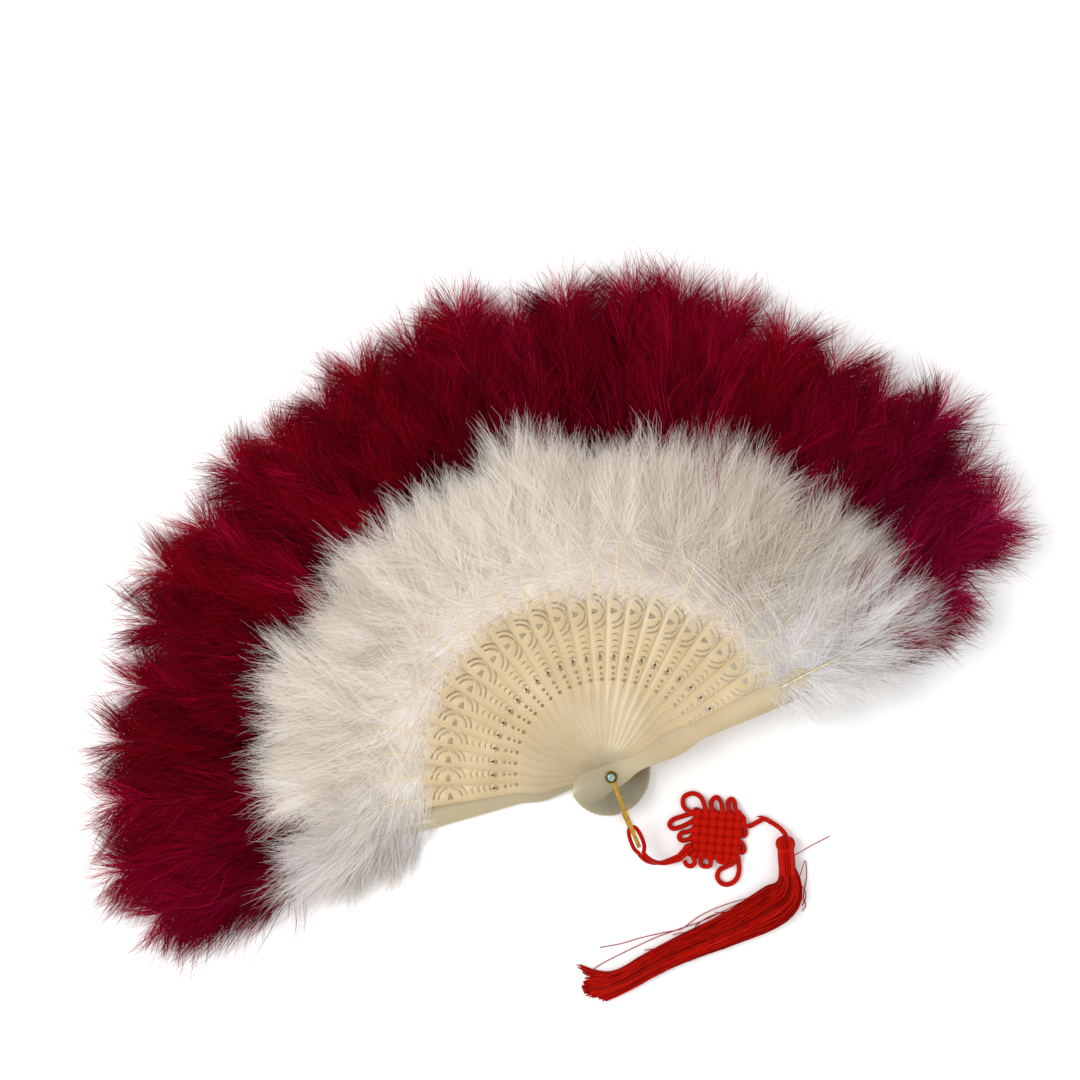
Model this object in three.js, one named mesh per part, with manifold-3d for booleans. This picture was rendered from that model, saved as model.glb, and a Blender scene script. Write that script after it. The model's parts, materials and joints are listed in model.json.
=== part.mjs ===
// A folding feather fan with an ivory-coloured stick assembly, lying open on a table.
//
// Frame, in millimetres: the origin is on the rivet's axis at its back face, which lies on the table.
// +Z runs through the stack of sticks from the back guard to the front guard, +Y is the middle of the
// open fan, and +X is to the right as the front is seen. Every blade turns about the rivet, so each one,
// with its plume, stays in a slice of the stack of its own, and the fan folds without a touch.

import * as THREE from "three";
import { mergeVertices } from "three/addons/utils/BufferGeometryUtils.js";
import Module from "manifold-3d";

const wasm = await Module();
wasm.setup();

// The fan as a whole
const PIERCED_STICKS = 24;
const SPREAD_DEGREES = 168;
const BACK_GUARD_DEGREES = 90 + SPREAD_DEGREES / 2;
const LAST_BLADE = PIERCED_STICKS + 1;
const BLADE_STEP_DEGREES = SPREAD_DEGREES / LAST_BLADE;

// The stack, counted up from the table
const RIVET_HEAD_HEIGHT = 1.0;
const STACK_GAP = 0.12;
const STRIP_THICKNESS = 0.8;
const GUARD_THICKNESS = 1.4;
const STICK_THICKNESS = 0.7;
const STICK_GAP = 0.15;
const WASHER_THICKNESS = 0.4;
const RIVET_END_HEIGHT = 0.9;

// The outline that all blades share, as distances from the rivet and widths there
const HEAD_REACH = 21;
const HEAD_WIDTH = 15.5;
const NECK_AT = 16;
const NECK_WIDTH = 7.8;
const BULGE_AT = 35;
const BULGE_WIDTH = 12.4;
const WAIST_AT = 47.5;
const WAIST_WIDTH = 8.6;
const BLADE_REACH = 109;
const PANEL_NARROW_SIDE = 4.6;
const PANEL_WIDE_SIDE = 9.8;
const PANEL_END_BEVEL = 2.4;
const HEAD_SHARES = [
  [-0.9, 0.58],
  [-0.71, 0.9],
  [-0.48, 1],
  [-0.2, 0.86],
];

// The rivet and the washer under its set end
const PIN_RADIUS = 1.25;
const PIN_CLEARANCE = 0.35;
const RIVET_HEAD_RADIUS = 3.0;
const RIVET_END_RADIUS = 1.9;
const RIVET_END_FLAT = 1.3;
const WASHER_RADIUS = 2.9;
const ROUND_SIDES = 16;
const STICK_HOLE_SIDES = 6;

// The pierced panel: three dots, a star, four crescents and a half wheel. All are shares of the panel's
// wide side; the pattern's whole length is a number of these too, and it fills the panel up to the slot.
const PATTERN_LENGTH_SHARE = 4.714;
const DOT_SHARES = [-0.031, 0.251, 0.552];
const DOT_RADIUS_SHARE = 0.092;
const MIDDLE_DOT_RADIUS_SHARE = 0.071;
const DOT_SIDES = 6;
const STAR_SHARE = 1.004;
const STAR_RADIUS_SHARE = 0.194;
const STAR_WAIST_SHARE = 0.082;
const STAR_POINTS = 5;
const CRESCENT_SHARES = [1.381, 1.682, 1.983, 2.303];
const CRESCENT_HALF_SHARE = 0.184;
const CRESCENT_RISE_SHARE = 0.133;
const CRESCENT_BAND_SHARE = 0.077;
const CRESCENT_SIDESTEP_SHARE = 0.051;
const WHEEL_SHARE = 3.42;
const WHEEL_SIDESTEP_SHARE = -0.224;
const WHEEL_RADIUS_SHARES = [0.622, 0.878];
const WHEEL_HALF_BAND_SHARE = 0.046;
const WHEEL_HALF_RIB_SHARE = 0.066;
const WHEEL_HALF_TURN_DEGREES = 82;
const PETAL_LENGTH_SHARE = 0.347;
const PETAL_HALF_SHARE = 0.153;

// The plume: a back vane of crimson marabou, a shorter front vane of white, and the quill
const QUILL_WIDTH = 1.5;
const QUILL_IN_BLADE = 15;
const SLOT_CLEARANCE = 0.3;
const CRIMSON_REACH = 258;
const END_REACH_FALL = 14;
const END_FALL_POWER = 20;
const CRIMSON_REACH_SWING = 4;
const CRIMSON_WIDTH = 38;
const CRIMSON_THICKNESS = 0.38;
const WHITE_REACH = 182;
const WHITE_WIDTH = 31;
const VANE_LAP = 0.05;
const BACK_LEAN_DEGREES = 7;
const FRONT_LEAN_DEGREES = 1.5;
const SWING_STEP_DEGREES = 137.5;
const CRIMSON_SHARES = [
  [0.05, 0.42],
  [0.42, 0.96],
  [0.58, 0.8],
  [0.78, 1],
  [0.86, 0.58],
  [0.97, 0.46],
];
const WHITE_SHARES = [
  [0.05, 0.56],
  [0.5, 1],
  [0.88, 0.6],
];

// The bail: a bent brass strip with an eyelet on each face of the stack
const STRIP_WIDTH = 2.0;
const EYELET_RADIUS = 3.2;
const BAIL_PAST_HEADS = 18.6;
const BEND_STEPS = 10;

// The red cord, doubled from the bail to the knot and single from the knot to the tassel. Its places, and
// the knot's, are measured from the outside of the bail's bend and from the table.
const CORD_DIAMETER = 2.5;
const DOUBLED_DIAMETER = 4.0;
const CORD_SIDES = 8;
const BIGHT_GAP = 0.6;
const BIGHT_LENGTH = 10.5;
const BIGHT_STEPS = 14;
const HANGER_STEPS = 10;
const TASSEL_CORD_STEPS = 11;
const HANGER_ROUTE = [
  [-0.2, -3.8, 13.6],
  [1.4, -7.6, 12.0],
  [4.4, -11.3, 8.4],
  [8.4, -13.8, 5.0],
  [12.6, -14.6, 3.3],
  [15.0, -14.7, 3.4],
  [17.0, -14.4, 4.1],
];
const TASSEL_CORD_ROUTE = [
  [57.6, -13.2, 1.3],
  [60.5, -12.9, 1.3],
  [64.0, -13.0, 1.4],
  [66.8, -16.0, 2.2],
  [69.1, -19.2, 3.6],
  [70.4, -22.4, 4.7],
  [70.6, -24.1, 4.9],
  [70.3, -25.0, 4.9],
];

// The knot: six strands each way, with loops of cord standing out round a square body
const KNOT_CENTRE = [38.2, -11.3];
const KNOT_TURN_DEGREES = -26.7;
const STRANDS = 6;
const STRAND_PITCH = 4.2;
const LAYER_GAP = 0.5;
const KNOT_SIDES = 6;
const STRAND_OVERHANG = 1.0;
const LOOP_STEPS = 2;
const EAR_TIP_Z = 2.3;
const SAMPLES_PER_DIAMETER = 8;
const NEIGHBOURHOOD_DIAMETERS = 2;
// Each row is a loop that joins two strand ends: the places it passes, in strand pitches from the centre
const TOP_EAR_SHARES = [
  [[-3.25, 2.53], [-4.14, 3.01], [-4.27, 4.14], [-3.28, 4.73], [-2.28, 4.41], [-1.8, 3.6]],
  [[-0.85, 3.17], [-0.87, 4.0], [-0.37, 4.51], [0.19, 4.09], [0.43, 3.28]],
  [[1.18, 3.35], [1.14, 4.12], [1.46, 4.46], [1.85, 4.16], [2.0, 3.42]],
];
const BOTTOM_EAR_SHARES = [
  [[-1.63, -3.27], [-1.45, -3.77], [-0.98, -3.91], [-0.44, -3.6]],
  [[0.69, -3.06], [1.36, -3.06]],
];
const LEFT_EAR_SHARES = [
  [[-3.25, -2.52], [-3.63, -2.18], [-3.33, -1.68]],
  [[-3.29, -0.86], [-4.04, -1.03], [-4.41, -0.67], [-4.12, -0.15], [-3.38, 0.1]],
  [[-3.46, 1.06], [-4.29, 0.58], [-5.23, 0.3], [-5.69, 0.74], [-5.3, 1.37], [-4.33, 1.82], [-3.43, 2.19]],
];
const RIGHT_EAR_SHARES = [
  [[3.24, -1.87], [3.56, -1.57], [3.36, -0.89]],
  [[3.23, 0.13], [3.55, 0.43], [3.33, 1.12]],
];
const ENTRY_SHARES = [
  [-3.57, -3.35],
  [-3.24, -3.81],
  [-2.73, -3.9],
  [-2.36, -3.55],
  [-2.43, -3.02],
];
const CORNER_EAR_SHARES = [
  [2.17, -3.19],
  [1.52, -3.73],
  [0.79, -4.23],
  [0.6, -5.1],
  [1.21, -5.78],
  [2.08, -5.8],
  [2.86, -5.19],
  [3.14, -4.2],
  [3.04, -3.2],
];
const EXIT_SHARES = [
  [3.22, 2.37],
  [3.52, 1.97],
  [3.87, 1.7],
  [4.17, 1.63],
];

// The tassel, whose route starts at the end of the cap's neck
const CAP_TURN_DEGREES = 252.5;
const CAP_LENGTH = 19.0;
const CAP_RADIUS = 4.85;
const CAP_LIFT = 0.05;
const CAP_GAP = 0.35;
const CAP_TOP_SHARE = 0.72;
const CAP_ROUNDING_SHARE = 0.3;
const CAP_BULB_SHARE = 0.32;
const CAP_NECK_RADIUS = 4.2;
const CAP_SIDES = 12;
const SKIRT_ROUTE = [
  [-0.1, -0.8],
  [-1.7, -4.6],
  [-5.1, -8.1],
  [-10.7, -10.7],
  [-19.5, -12.5],
  [-32.1, -13.8],
  [-47.3, -14.9],
  [-64.6, -15.3],
  [-81.7, -16.8],
  [-96.9, -18.5],
  [-113.0, -18.3],
];
const SKIRT_WIDTH = 21;
const SKIRT_HEIGHT = 9.2;
const SKIRT_WIDTH_SHARES = [0.4, 0.58, 0.82, 0.98, 0.98, 0.88, 0.78, 0.68, 0.6, 0.55, 0.72];
const SKIRT_HEIGHT_SHARES = [0.9, 0.98, 1, 0.92, 0.8, 0.72, 0.66, 0.6, 0.54, 0.48, 0.34];
const SKIRT_SIDES = 12;

// Sizes and heights that follow from the others
const SLOT_FLOOR = BLADE_REACH - QUILL_IN_BLADE - SLOT_CLEARANCE;
const BAIL_REACH = HEAD_REACH + BAIL_PAST_HEADS;
const LOW_STRIP_Z = RIVET_HEAD_HEIGHT + STACK_GAP;
const BACK_GUARD_Z = LOW_STRIP_Z + STRIP_THICKNESS + STACK_GAP;
const FIRST_STICK_Z = BACK_GUARD_Z + GUARD_THICKNESS + STICK_GAP;
const STICK_PITCH = STICK_THICKNESS + STICK_GAP;
const FRONT_GUARD_Z = FIRST_STICK_Z + PIERCED_STICKS * STICK_PITCH;
const HIGH_STRIP_Z = FRONT_GUARD_Z + GUARD_THICKNESS + STACK_GAP;
const WASHER_Z = HIGH_STRIP_Z + STRIP_THICKNESS + STACK_GAP;
const RIVET_END_Z = WASHER_Z + WASHER_THICKNESS + STACK_GAP;
const BAIL_MIDDLE_Z = (LOW_STRIP_Z + HIGH_STRIP_Z + STRIP_THICKNESS) / 2;
const HOLE_RADIUS = PIN_RADIUS + PIN_CLEARANCE;
const MERGE_DISTANCE = 1e-4;

const IVORY = new THREE.MeshStandardMaterial({ color: 0xd9c9a0, roughness: 0.38, metalness: 0 });
const CRIMSON = new THREE.MeshStandardMaterial({ color: 0x7d0b24, roughness: 0.9, metalness: 0 });
const RIVET_METAL = new THREE.MeshStandardMaterial({ color: 0x9fb4b2, roughness: 0.35, metalness: 1 });
const DARK_BRASS = new THREE.MeshStandardMaterial({ color: 0x6e5a30, roughness: 0.5, metalness: 1 });
const BRASS = new THREE.MeshStandardMaterial({ color: 0xc79a36, roughness: 0.3, metalness: 1 });
const RED_CORD = new THREE.MeshStandardMaterial({ color: 0xb5160e, roughness: 0.6, metalness: 0 });
const RED_THREAD = new THREE.MeshStandardMaterial({ color: 0xa8130e, roughness: 0.5, metalness: 0 });

const radians = THREE.MathUtils.degToRad;

// Solids for cutting and joining

function toSolid(geometry) {
  const bare = geometry.index ? geometry.toNonIndexed() : geometry.clone();
  bare.deleteAttribute("normal");
  bare.deleteAttribute("uv");
  const merged = mergeVertices(bare, MERGE_DISTANCE);
  return new wasm.Manifold(
    new wasm.Mesh({
      numProp: 3,
      vertProperties: new Float32Array(merged.attributes.position.array),
      triVerts: new Uint32Array(merged.index.array),
    }),
  );
}

function toGeometry(solid) {
  const mesh = solid.getMesh();
  const geometry = new THREE.BufferGeometry();
  geometry.setAttribute("position", new THREE.BufferAttribute(mesh.vertProperties, 3));
  geometry.setIndex(new THREE.BufferAttribute(mesh.triVerts, 1));
  geometry.computeVertexNormals();
  return geometry;
}

function joined(...geometries) {
  return toGeometry(geometries.map(toSolid).reduce((whole, next) => whole.add(next)));
}

function slab(shape, thickness, z = 0) {
  const geometry = new THREE.ExtrudeGeometry(shape, { depth: thickness, bevelEnabled: false });
  return geometry.translate(0, 0, z);
}

function polygon(points) {
  return new THREE.Shape(points.map(([x, y]) => new THREE.Vector2(x, y)));
}

function ringPoints(radius, sides, x = 0, y = 0, firstAngle = 0) {
  return Array.from({ length: sides }, (_, i) => {
    const angle = firstAngle + (i / sides) * 2 * Math.PI;
    return [x + radius * Math.cos(angle), y + radius * Math.sin(angle)];
  });
}

// Rings of points, all of one count, skinned into a closed body with a flat cap at each end
function loft(rings) {
  const sides = rings[0].length;
  const points = rings.flat();
  const faces = [];
  for (let ring = 0; ring < rings.length - 1; ring++) {
    for (let side = 0; side < sides; side++) {
      const next = (side + 1) % sides;
      const a = ring * sides + side;
      const b = ring * sides + next;
      const c = a + sides;
      const d = b + sides;
      faces.push(a, b, d, a, d, c);
    }
  }
  const last = (rings.length - 1) * sides;
  for (let side = 1; side < sides - 1; side++) {
    faces.push(0, side + 1, side);
    faces.push(last, last + side, last + side + 1);
  }
  const geometry = new THREE.BufferGeometry().setFromPoints(points);
  geometry.setIndex(faces);
  geometry.computeVertexNormals();
  return geometry;
}

// A section across a path that never stands upright: a level half-axis and a rising one
function sectionRing(centre, tangent, halfWidth, halfHeight, sides) {
  const up = new THREE.Vector3(0, 0, 1);
  const level = new THREE.Vector3().crossVectors(up, tangent).normalize();
  const rise = new THREE.Vector3().crossVectors(tangent, level).normalize();
  return Array.from({ length: sides }, (_, i) => {
    const angle = ((i + 1 / 2) / sides) * 2 * Math.PI;
    return centre
      .clone()
      .addScaledVector(level, halfWidth * Math.cos(angle))
      .addScaledVector(rise, halfHeight * Math.sin(angle));
  });
}

function pathTangents(points) {
  return points.map((_, i) => {
    const before = points[Math.max(i - 1, 0)];
    const after = points[Math.min(i + 1, points.length - 1)];
    return new THREE.Vector3().subVectors(after, before).normalize();
  });
}

function cordTube(route, diameter, steps, sides = CORD_SIDES) {
  const curve = new THREE.CatmullRomCurve3(route.map((place) => new THREE.Vector3(...place)));
  return new THREE.ExtrudeGeometry(polygon(ringPoints(diameter / 2, sides)), {
    steps,
    extrudePath: curve,
  });
}

// The blades

// The half width between two named stations, eased so that the edge has no corner there
function easedWidth(from, to, share) {
  return from + ((to - from) * (1 - Math.cos(Math.PI * share))) / 2;
}

// One edge of a blade from the head to the end of its panel, as distance and half width
function edgeStations(panelHalfWidth) {
  const between = (startAt, startWidth, endAt, endWidth, share) => [
    startAt + (endAt - startAt) * share,
    easedWidth(startWidth, endWidth, share) / 2,
  ];
  return [
    ...HEAD_SHARES.map(([along, across]) => [along * HEAD_REACH, (across * HEAD_WIDTH) / 2]),
    [NECK_AT, NECK_WIDTH / 2],
    between(NECK_AT, NECK_WIDTH, BULGE_AT, BULGE_WIDTH, 1 / 2),
    [BULGE_AT, BULGE_WIDTH / 2],
    between(BULGE_AT, BULGE_WIDTH, WAIST_AT, WAIST_WIDTH, 1 / 2),
    [WAIST_AT, WAIST_WIDTH / 2],
    [BLADE_REACH - PANEL_END_BEVEL, panelHalfWidth],
    [BLADE_REACH, panelHalfWidth - PANEL_END_BEVEL],
  ];
}

// Seen from the front with the blade pointing up, the narrow side is on the left. The slot in the
// outer end is where the quill is glued in.
function bladeShape() {
  const slotHalf = QUILL_WIDTH / 2 + SLOT_CLEARANCE;
  const right = edgeStations(PANEL_WIDE_SIDE).map(([along, half]) => [half, along]);
  const left = edgeStations(PANEL_NARROW_SIDE).map(([along, half]) => [-half, along]);
  const shape = polygon([
    [0, -HEAD_REACH],
    ...right,
    [slotHalf, BLADE_REACH],
    [slotHalf, SLOT_FLOOR],
    [-slotHalf, SLOT_FLOOR],
    [-slotHalf, BLADE_REACH],
    ...left.reverse(),
  ]);
  shape.holes.push(polygon(ringPoints(HOLE_RADIUS, STICK_HOLE_SIDES)));
  return shape;
}

function starPoints(y) {
  const outer = ringPoints(STAR_RADIUS_SHARE, STAR_POINTS, 0, y, Math.PI / 2);
  const inner = ringPoints(STAR_WAIST_SHARE, STAR_POINTS, 0, y, Math.PI / 2 + Math.PI / STAR_POINTS);
  return outer.flatMap((point, i) => [point, inner[i]]);
}

function crescentPoints(y) {
  const x = CRESCENT_SIDESTEP_SHARE;
  return [
    [x + CRESCENT_HALF_SHARE, y - CRESCENT_RISE_SHARE],
    [x, y],
    [x - CRESCENT_HALF_SHARE, y - CRESCENT_RISE_SHARE],
    [x, y - CRESCENT_BAND_SHARE],
  ];
}

// One piece of a ring band, between two angles from the wheel's middle rib
function bandPoints(radius, from, to) {
  const at = (r, angle) => [WHEEL_SIDESTEP_SHARE + r * Math.cos(angle), WHEEL_SHARE + r * Math.sin(angle)];
  const angles = [from, (from + to) / 2, to];
  return [
    ...angles.map((angle) => at(radius + WHEEL_HALF_BAND_SHARE, angle)),
    ...angles.reverse().map((angle) => at(radius - WHEEL_HALF_BAND_SHARE, angle)),
  ];
}

function wheelHoles() {
  const end = radians(WHEEL_HALF_TURN_DEGREES);
  const bands = WHEEL_RADIUS_SHARES.flatMap((radius) => {
    const start = WHEEL_HALF_RIB_SHARE / radius;
    return [bandPoints(radius, start, end), bandPoints(radius, -end, -start)];
  });
  const petal = [
    [WHEEL_SIDESTEP_SHARE, WHEEL_SHARE - PETAL_HALF_SHARE],
    [WHEEL_SIDESTEP_SHARE + PETAL_LENGTH_SHARE, WHEEL_SHARE],
    [WHEEL_SIDESTEP_SHARE, WHEEL_SHARE + PETAL_HALF_SHARE],
  ];
  return [...bands, petal];
}

// The pattern is stretched to the panel between the waist and the floor of the quill's slot
function piercedShape() {
  const patternUnit = (SLOT_FLOOR - WAIST_AT) / PATTERN_LENGTH_SHARE;
  const onPanel = ([across, along]) => [across * PANEL_WIDE_SIDE, WAIST_AT + along * patternUnit];
  const dots = DOT_SHARES.map((share, i) =>
    ringPoints(i === 1 ? MIDDLE_DOT_RADIUS_SHARE : DOT_RADIUS_SHARE, DOT_SIDES, 0, share),
  );
  const cuts = [...dots, starPoints(STAR_SHARE), ...CRESCENT_SHARES.map(crescentPoints), ...wheelHoles()];
  const shape = bladeShape();
  cuts.forEach((points) => shape.holes.push(polygon(points.map(onPanel))));
  return shape;
}

// The plumes

// A vane's outline, bent sideways by the lean, from its root at the blade's end to its tip
function vaneShape(root, reach, width, shares, lean) {
  const length = reach - root;
  const bend = (along) => Math.tan(lean) * along;
  const side = (sign) =>
    shares.map(([along, across]) => [
      bend(along * length) + (sign * across * width) / 2,
      root + along * length,
    ]);
  return [...side(1), [bend(length), root + length], ...side(-1).reverse()];
}

function plumeGeometry(index) {
  const root = BLADE_REACH + SLOT_CLEARANCE;
  const place = (2 * index) / LAST_BLADE - 1;
  const lean = radians(place < 0 ? BACK_LEAN_DEGREES : FRONT_LEAN_DEGREES) * place ** 3;
  const swing = CRIMSON_REACH_SWING * Math.sin(radians(SWING_STEP_DEGREES) * index);
  const reach = CRIMSON_REACH - END_REACH_FALL * place ** END_FALL_POWER + swing;
  const quill = QUILL_WIDTH / 2;
  const quillEnd = BLADE_REACH - QUILL_IN_BLADE;
  const crimson = polygon([
    [-quill, quillEnd],
    [quill, quillEnd],
    [quill, root],
    ...vaneShape(root, reach, CRIMSON_WIDTH, CRIMSON_SHARES, lean),
    [-quill, root],
  ]);
  const white = polygon([
    [-quill, quillEnd],
    [quill, quillEnd],
    [quill, root],
    ...vaneShape(root, WHITE_REACH, WHITE_WIDTH, WHITE_SHARES, lean),
    [-quill, root],
  ]);
  const whiteStart = CRIMSON_THICKNESS - VANE_LAP;
  return joined(
    slab(crimson, CRIMSON_THICKNESS),
    slab(white, STICK_THICKNESS - whiteStart, whiteStart),
  );
}

// The rivet, the washer and the bail

function rivetGeometry() {
  const profile = [
    [0, 0],
    [RIVET_HEAD_RADIUS, 0],
    [RIVET_HEAD_RADIUS, RIVET_HEAD_HEIGHT],
    [PIN_RADIUS, RIVET_HEAD_HEIGHT],
    [PIN_RADIUS, RIVET_END_Z],
    [RIVET_END_RADIUS, RIVET_END_Z],
    [RIVET_END_RADIUS, RIVET_END_Z + RIVET_END_HEIGHT / 2],
    [RIVET_END_FLAT, RIVET_END_Z + RIVET_END_HEIGHT],
    [0, RIVET_END_Z + RIVET_END_HEIGHT],
  ];
  const lathe = new THREE.LatheGeometry(profile.map(([r, z]) => new THREE.Vector2(r, z)), ROUND_SIDES);
  return lathe.rotateX(Math.PI / 2);
}

function ringShape(radius) {
  const shape = polygon(ringPoints(radius, ROUND_SIDES));
  shape.holes.push(polygon(ringPoints(HOLE_RADIUS, ROUND_SIDES)));
  return shape;
}

// The strip is drawn edge on, with Y to the left, and given its width along X
function bailGeometry() {
  const outerRadius = (HIGH_STRIP_Z + STRIP_THICKNESS - LOW_STRIP_Z) / 2;
  const innerRadius = outerRadius - STRIP_THICKNESS;
  const bendAt = BAIL_REACH - outerRadius;
  const legStart = (EYELET_RADIUS + HOLE_RADIUS) / 2;
  const bend = (radius, sign) =>
    Array.from({ length: BEND_STEPS + 1 }, (_, i) => {
      const angle = sign * (i / BEND_STEPS - 1 / 2) * Math.PI;
      return [bendAt + radius * Math.cos(angle), BAIL_MIDDLE_Z + radius * Math.sin(angle)];
    });
  const side = polygon([
    [legStart, LOW_STRIP_Z],
    ...bend(outerRadius, 1),
    [legStart, HIGH_STRIP_Z + STRIP_THICKNESS],
    [legStart, HIGH_STRIP_Z],
    ...bend(innerRadius, -1),
    [legStart, LOW_STRIP_Z + STRIP_THICKNESS],
  ]);
  const strip = slab(side, STRIP_WIDTH, -STRIP_WIDTH / 2)
    .rotateX(Math.PI / 2)
    .rotateZ(-Math.PI / 2);
  return joined(
    strip,
    slab(ringShape(EYELET_RADIUS), STRIP_THICKNESS, LOW_STRIP_Z),
    slab(ringShape(EYELET_RADIUS), STRIP_THICKNESS, HIGH_STRIP_Z),
  );
}

// The cord and the knot

// The loop of cord round the upright middle of the bail's bend, long enough to slip the knot through
function bightRoute() {
  const apex = STRIP_THICKNESS / 2;
  const sideways = STRIP_WIDTH / 2 + BIGHT_GAP + CORD_DIAMETER / 2;
  const [startX, startY] = HANGER_ROUTE[0];
  const lay = (x, y) => [x, y, BAIL_MIDDLE_Z];
  return [
    lay(startX, startY),
    lay(-sideways, apex),
    lay(-sideways, apex + BIGHT_LENGTH / 2),
    lay(0, apex + BIGHT_LENGTH),
    lay(sideways, apex + BIGHT_LENGTH / 2),
    lay(sideways, apex),
    lay(startX, startY),
  ];
}

function hangerGeometry() {
  const bight = cordTube(bightRoute(), CORD_DIAMETER, BIGHT_STEPS);
  return joined(cordTube(HANGER_ROUTE, DOUBLED_DIAMETER, HANGER_STEPS), bight);
}

function strandPlace(strand) {
  return (strand - (STRANDS - 1) / 2) * STRAND_PITCH;
}

function onKnot([x, y], z) {
  return new THREE.Vector3(x * STRAND_PITCH, y * STRAND_PITCH, z);
}

// A smooth line from the first point to the last
function smoothPoints(points) {
  return new THREE.CatmullRomCurve3(points).getPoints(LOOP_STEPS * (points.length - 1));
}

// A loop between two strand ends, without them. It leaves and comes back level with them, and dips to
// the tip's level between, but no lower.
function earPoints(start, end, shares, tipZ) {
  const last = shares.length - 1;
  const levels = shares.map((_, i) => (i === 0 ? start.z : i === last ? end.z : tipZ));
  const through = shares.map((place, i) => onKnot(place, levels[i]));
  const points = smoothPoints([start, ...through, end]).slice(1, -1);
  return points.map(({ x, y, z }) => new THREE.Vector3(x, y, THREE.MathUtils.clamp(z, tipZ, start.z)));
}

// One layer of strands: the cord runs to and fro, with a loop thrown out at each turn
function layer(firstSign, place, z, earShares, tipZ) {
  const edge = strandPlace(STRANDS - 1) + STRAND_OVERHANG;
  const points = [];
  for (let strand = 0; strand < STRANDS; strand++) {
    const sign = strand % 2 ? -firstSign : firstSign;
    const end = place(strandPlace(strand), sign * edge, z);
    points.push(place(strandPlace(strand), -sign * edge, z), end);
    if (strand < STRANDS - 1) {
      const next = place(strandPlace(strand + 1), sign * edge, z);
      points.push(...earPoints(end, next, earShares[strand % 2][Math.floor(strand / 2)], tipZ));
    }
  }
  return points;
}

// The cord comes in at the lower left, lies up and down the columns of the upper layer, swings round
// the lower right corner, and goes to and fro along the rows of the lower layer to the upper right
function knotPath() {
  const lowZ = CORD_DIAMETER / 2;
  const highZ = lowZ + CORD_DIAMETER + LAYER_GAP;
  const column = (across, along, z) => new THREE.Vector3(across, along, z);
  const row = (across, along, z) => new THREE.Vector3(along, across, z);
  const columns = layer(1, column, highZ, [TOP_EAR_SHARES, BOTTOM_EAR_SHARES], EAR_TIP_Z);
  const rows = layer(-1, row, lowZ, [LEFT_EAR_SHARES, RIGHT_EAR_SHARES], lowZ);
  const entry = smoothPoints([...ENTRY_SHARES.map((place) => onKnot(place, highZ)), columns[0]]);
  const corner = earPoints(columns[columns.length - 1], rows[0], CORNER_EAR_SHARES, lowZ);
  const exit = smoothPoints([rows[rows.length - 1], ...EXIT_SHARES.map((place) => onKnot(place, lowZ))]);
  return [...entry.slice(0, -1), ...columns, ...corner, ...rows, ...exit.slice(1)];
}

// The least gap that a tube along these points leaves to itself, away from its own neighbourhood
function leastSelfGap(points, diameter) {
  const dense = [];
  const along = [];
  let travelled = 0;
  for (let i = 0; i < points.length - 1; i++) {
    const length = points[i].distanceTo(points[i + 1]);
    const pieces = Math.ceil((length * SAMPLES_PER_DIAMETER) / diameter);
    for (let k = 0; k < pieces; k++) {
      dense.push(points[i].clone().lerp(points[i + 1], k / pieces));
      along.push(travelled + (length * k) / pieces);
    }
    travelled += length;
  }
  const apart = NEIGHBOURHOOD_DIAMETERS * diameter;
  let least = Infinity;
  for (let i = 0; i < dense.length; i++) {
    for (let j = i + 1; j < dense.length; j++) {
      if (along[j] - along[i] > apart) least = Math.min(least, dense[i].distanceTo(dense[j]));
    }
  }
  return least - diameter;
}

function knotGeometry() {
  const points = knotPath();
  const gap = leastSelfGap(points, CORD_DIAMETER);
  console.log(`knot: the cord's least gap to itself is ${gap.toFixed(2)} mm`);
  const tangents = pathTangents(points);
  const radius = CORD_DIAMETER / 2;
  const rings = points.map((point, i) => sectionRing(point, tangents[i], radius, radius, KNOT_SIDES));
  return loft(rings);
}

// The tassel

function capGeometry() {
  const bulbEnd = CAP_LENGTH * CAP_BULB_SHARE;
  const shoulder = CAP_RADIUS - CAP_NECK_RADIUS;
  const profile = [
    [0, 0],
    [CAP_RADIUS * CAP_TOP_SHARE, 0],
    [CAP_RADIUS, CAP_RADIUS * CAP_ROUNDING_SHARE],
    [CAP_RADIUS, bulbEnd - shoulder],
    [CAP_NECK_RADIUS, bulbEnd],
    [CAP_NECK_RADIUS, CAP_LENGTH],
    [0, CAP_LENGTH],
  ];
  return new THREE.LatheGeometry(profile.map(([r, along]) => new THREE.Vector2(r, along)), CAP_SIDES);
}

function skirtGeometry() {
  const centres = SKIRT_ROUTE.map(([x, y], i) => {
    const z = (SKIRT_HEIGHT * SKIRT_HEIGHT_SHARES[i]) / 2;
    return new THREE.Vector3(x, y, z);
  });
  const levels = centres.map(({ x, y }) => new THREE.Vector3(x, y, 0));
  const tangents = pathTangents(levels);
  const rings = centres.map((centre, i) => {
    const halfWidth = (SKIRT_WIDTH * SKIRT_WIDTH_SHARES[i]) / 2;
    return sectionRing(centre, tangents[i], halfWidth, centre.z, SKIRT_SIDES);
  });
  return loft(rings);
}

// The scene

const fan = new THREE.Group();

function add(parent, name, geometry, material) {
  const mesh = new THREE.Mesh(geometry, material);
  mesh.name = name;
  parent.add(mesh);
  return mesh;
}

function bladeName(index) {
  if (index === 0) return "back_guard";
  if (index === LAST_BLADE) return "front_guard";
  return `stick_${String(index).padStart(2, "0")}`;
}

// Where a blade's slice of the stack starts
function bladeZ(index) {
  return index === 0 ? BACK_GUARD_Z : FIRST_STICK_Z + (index - 1) * STICK_PITCH;
}

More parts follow.
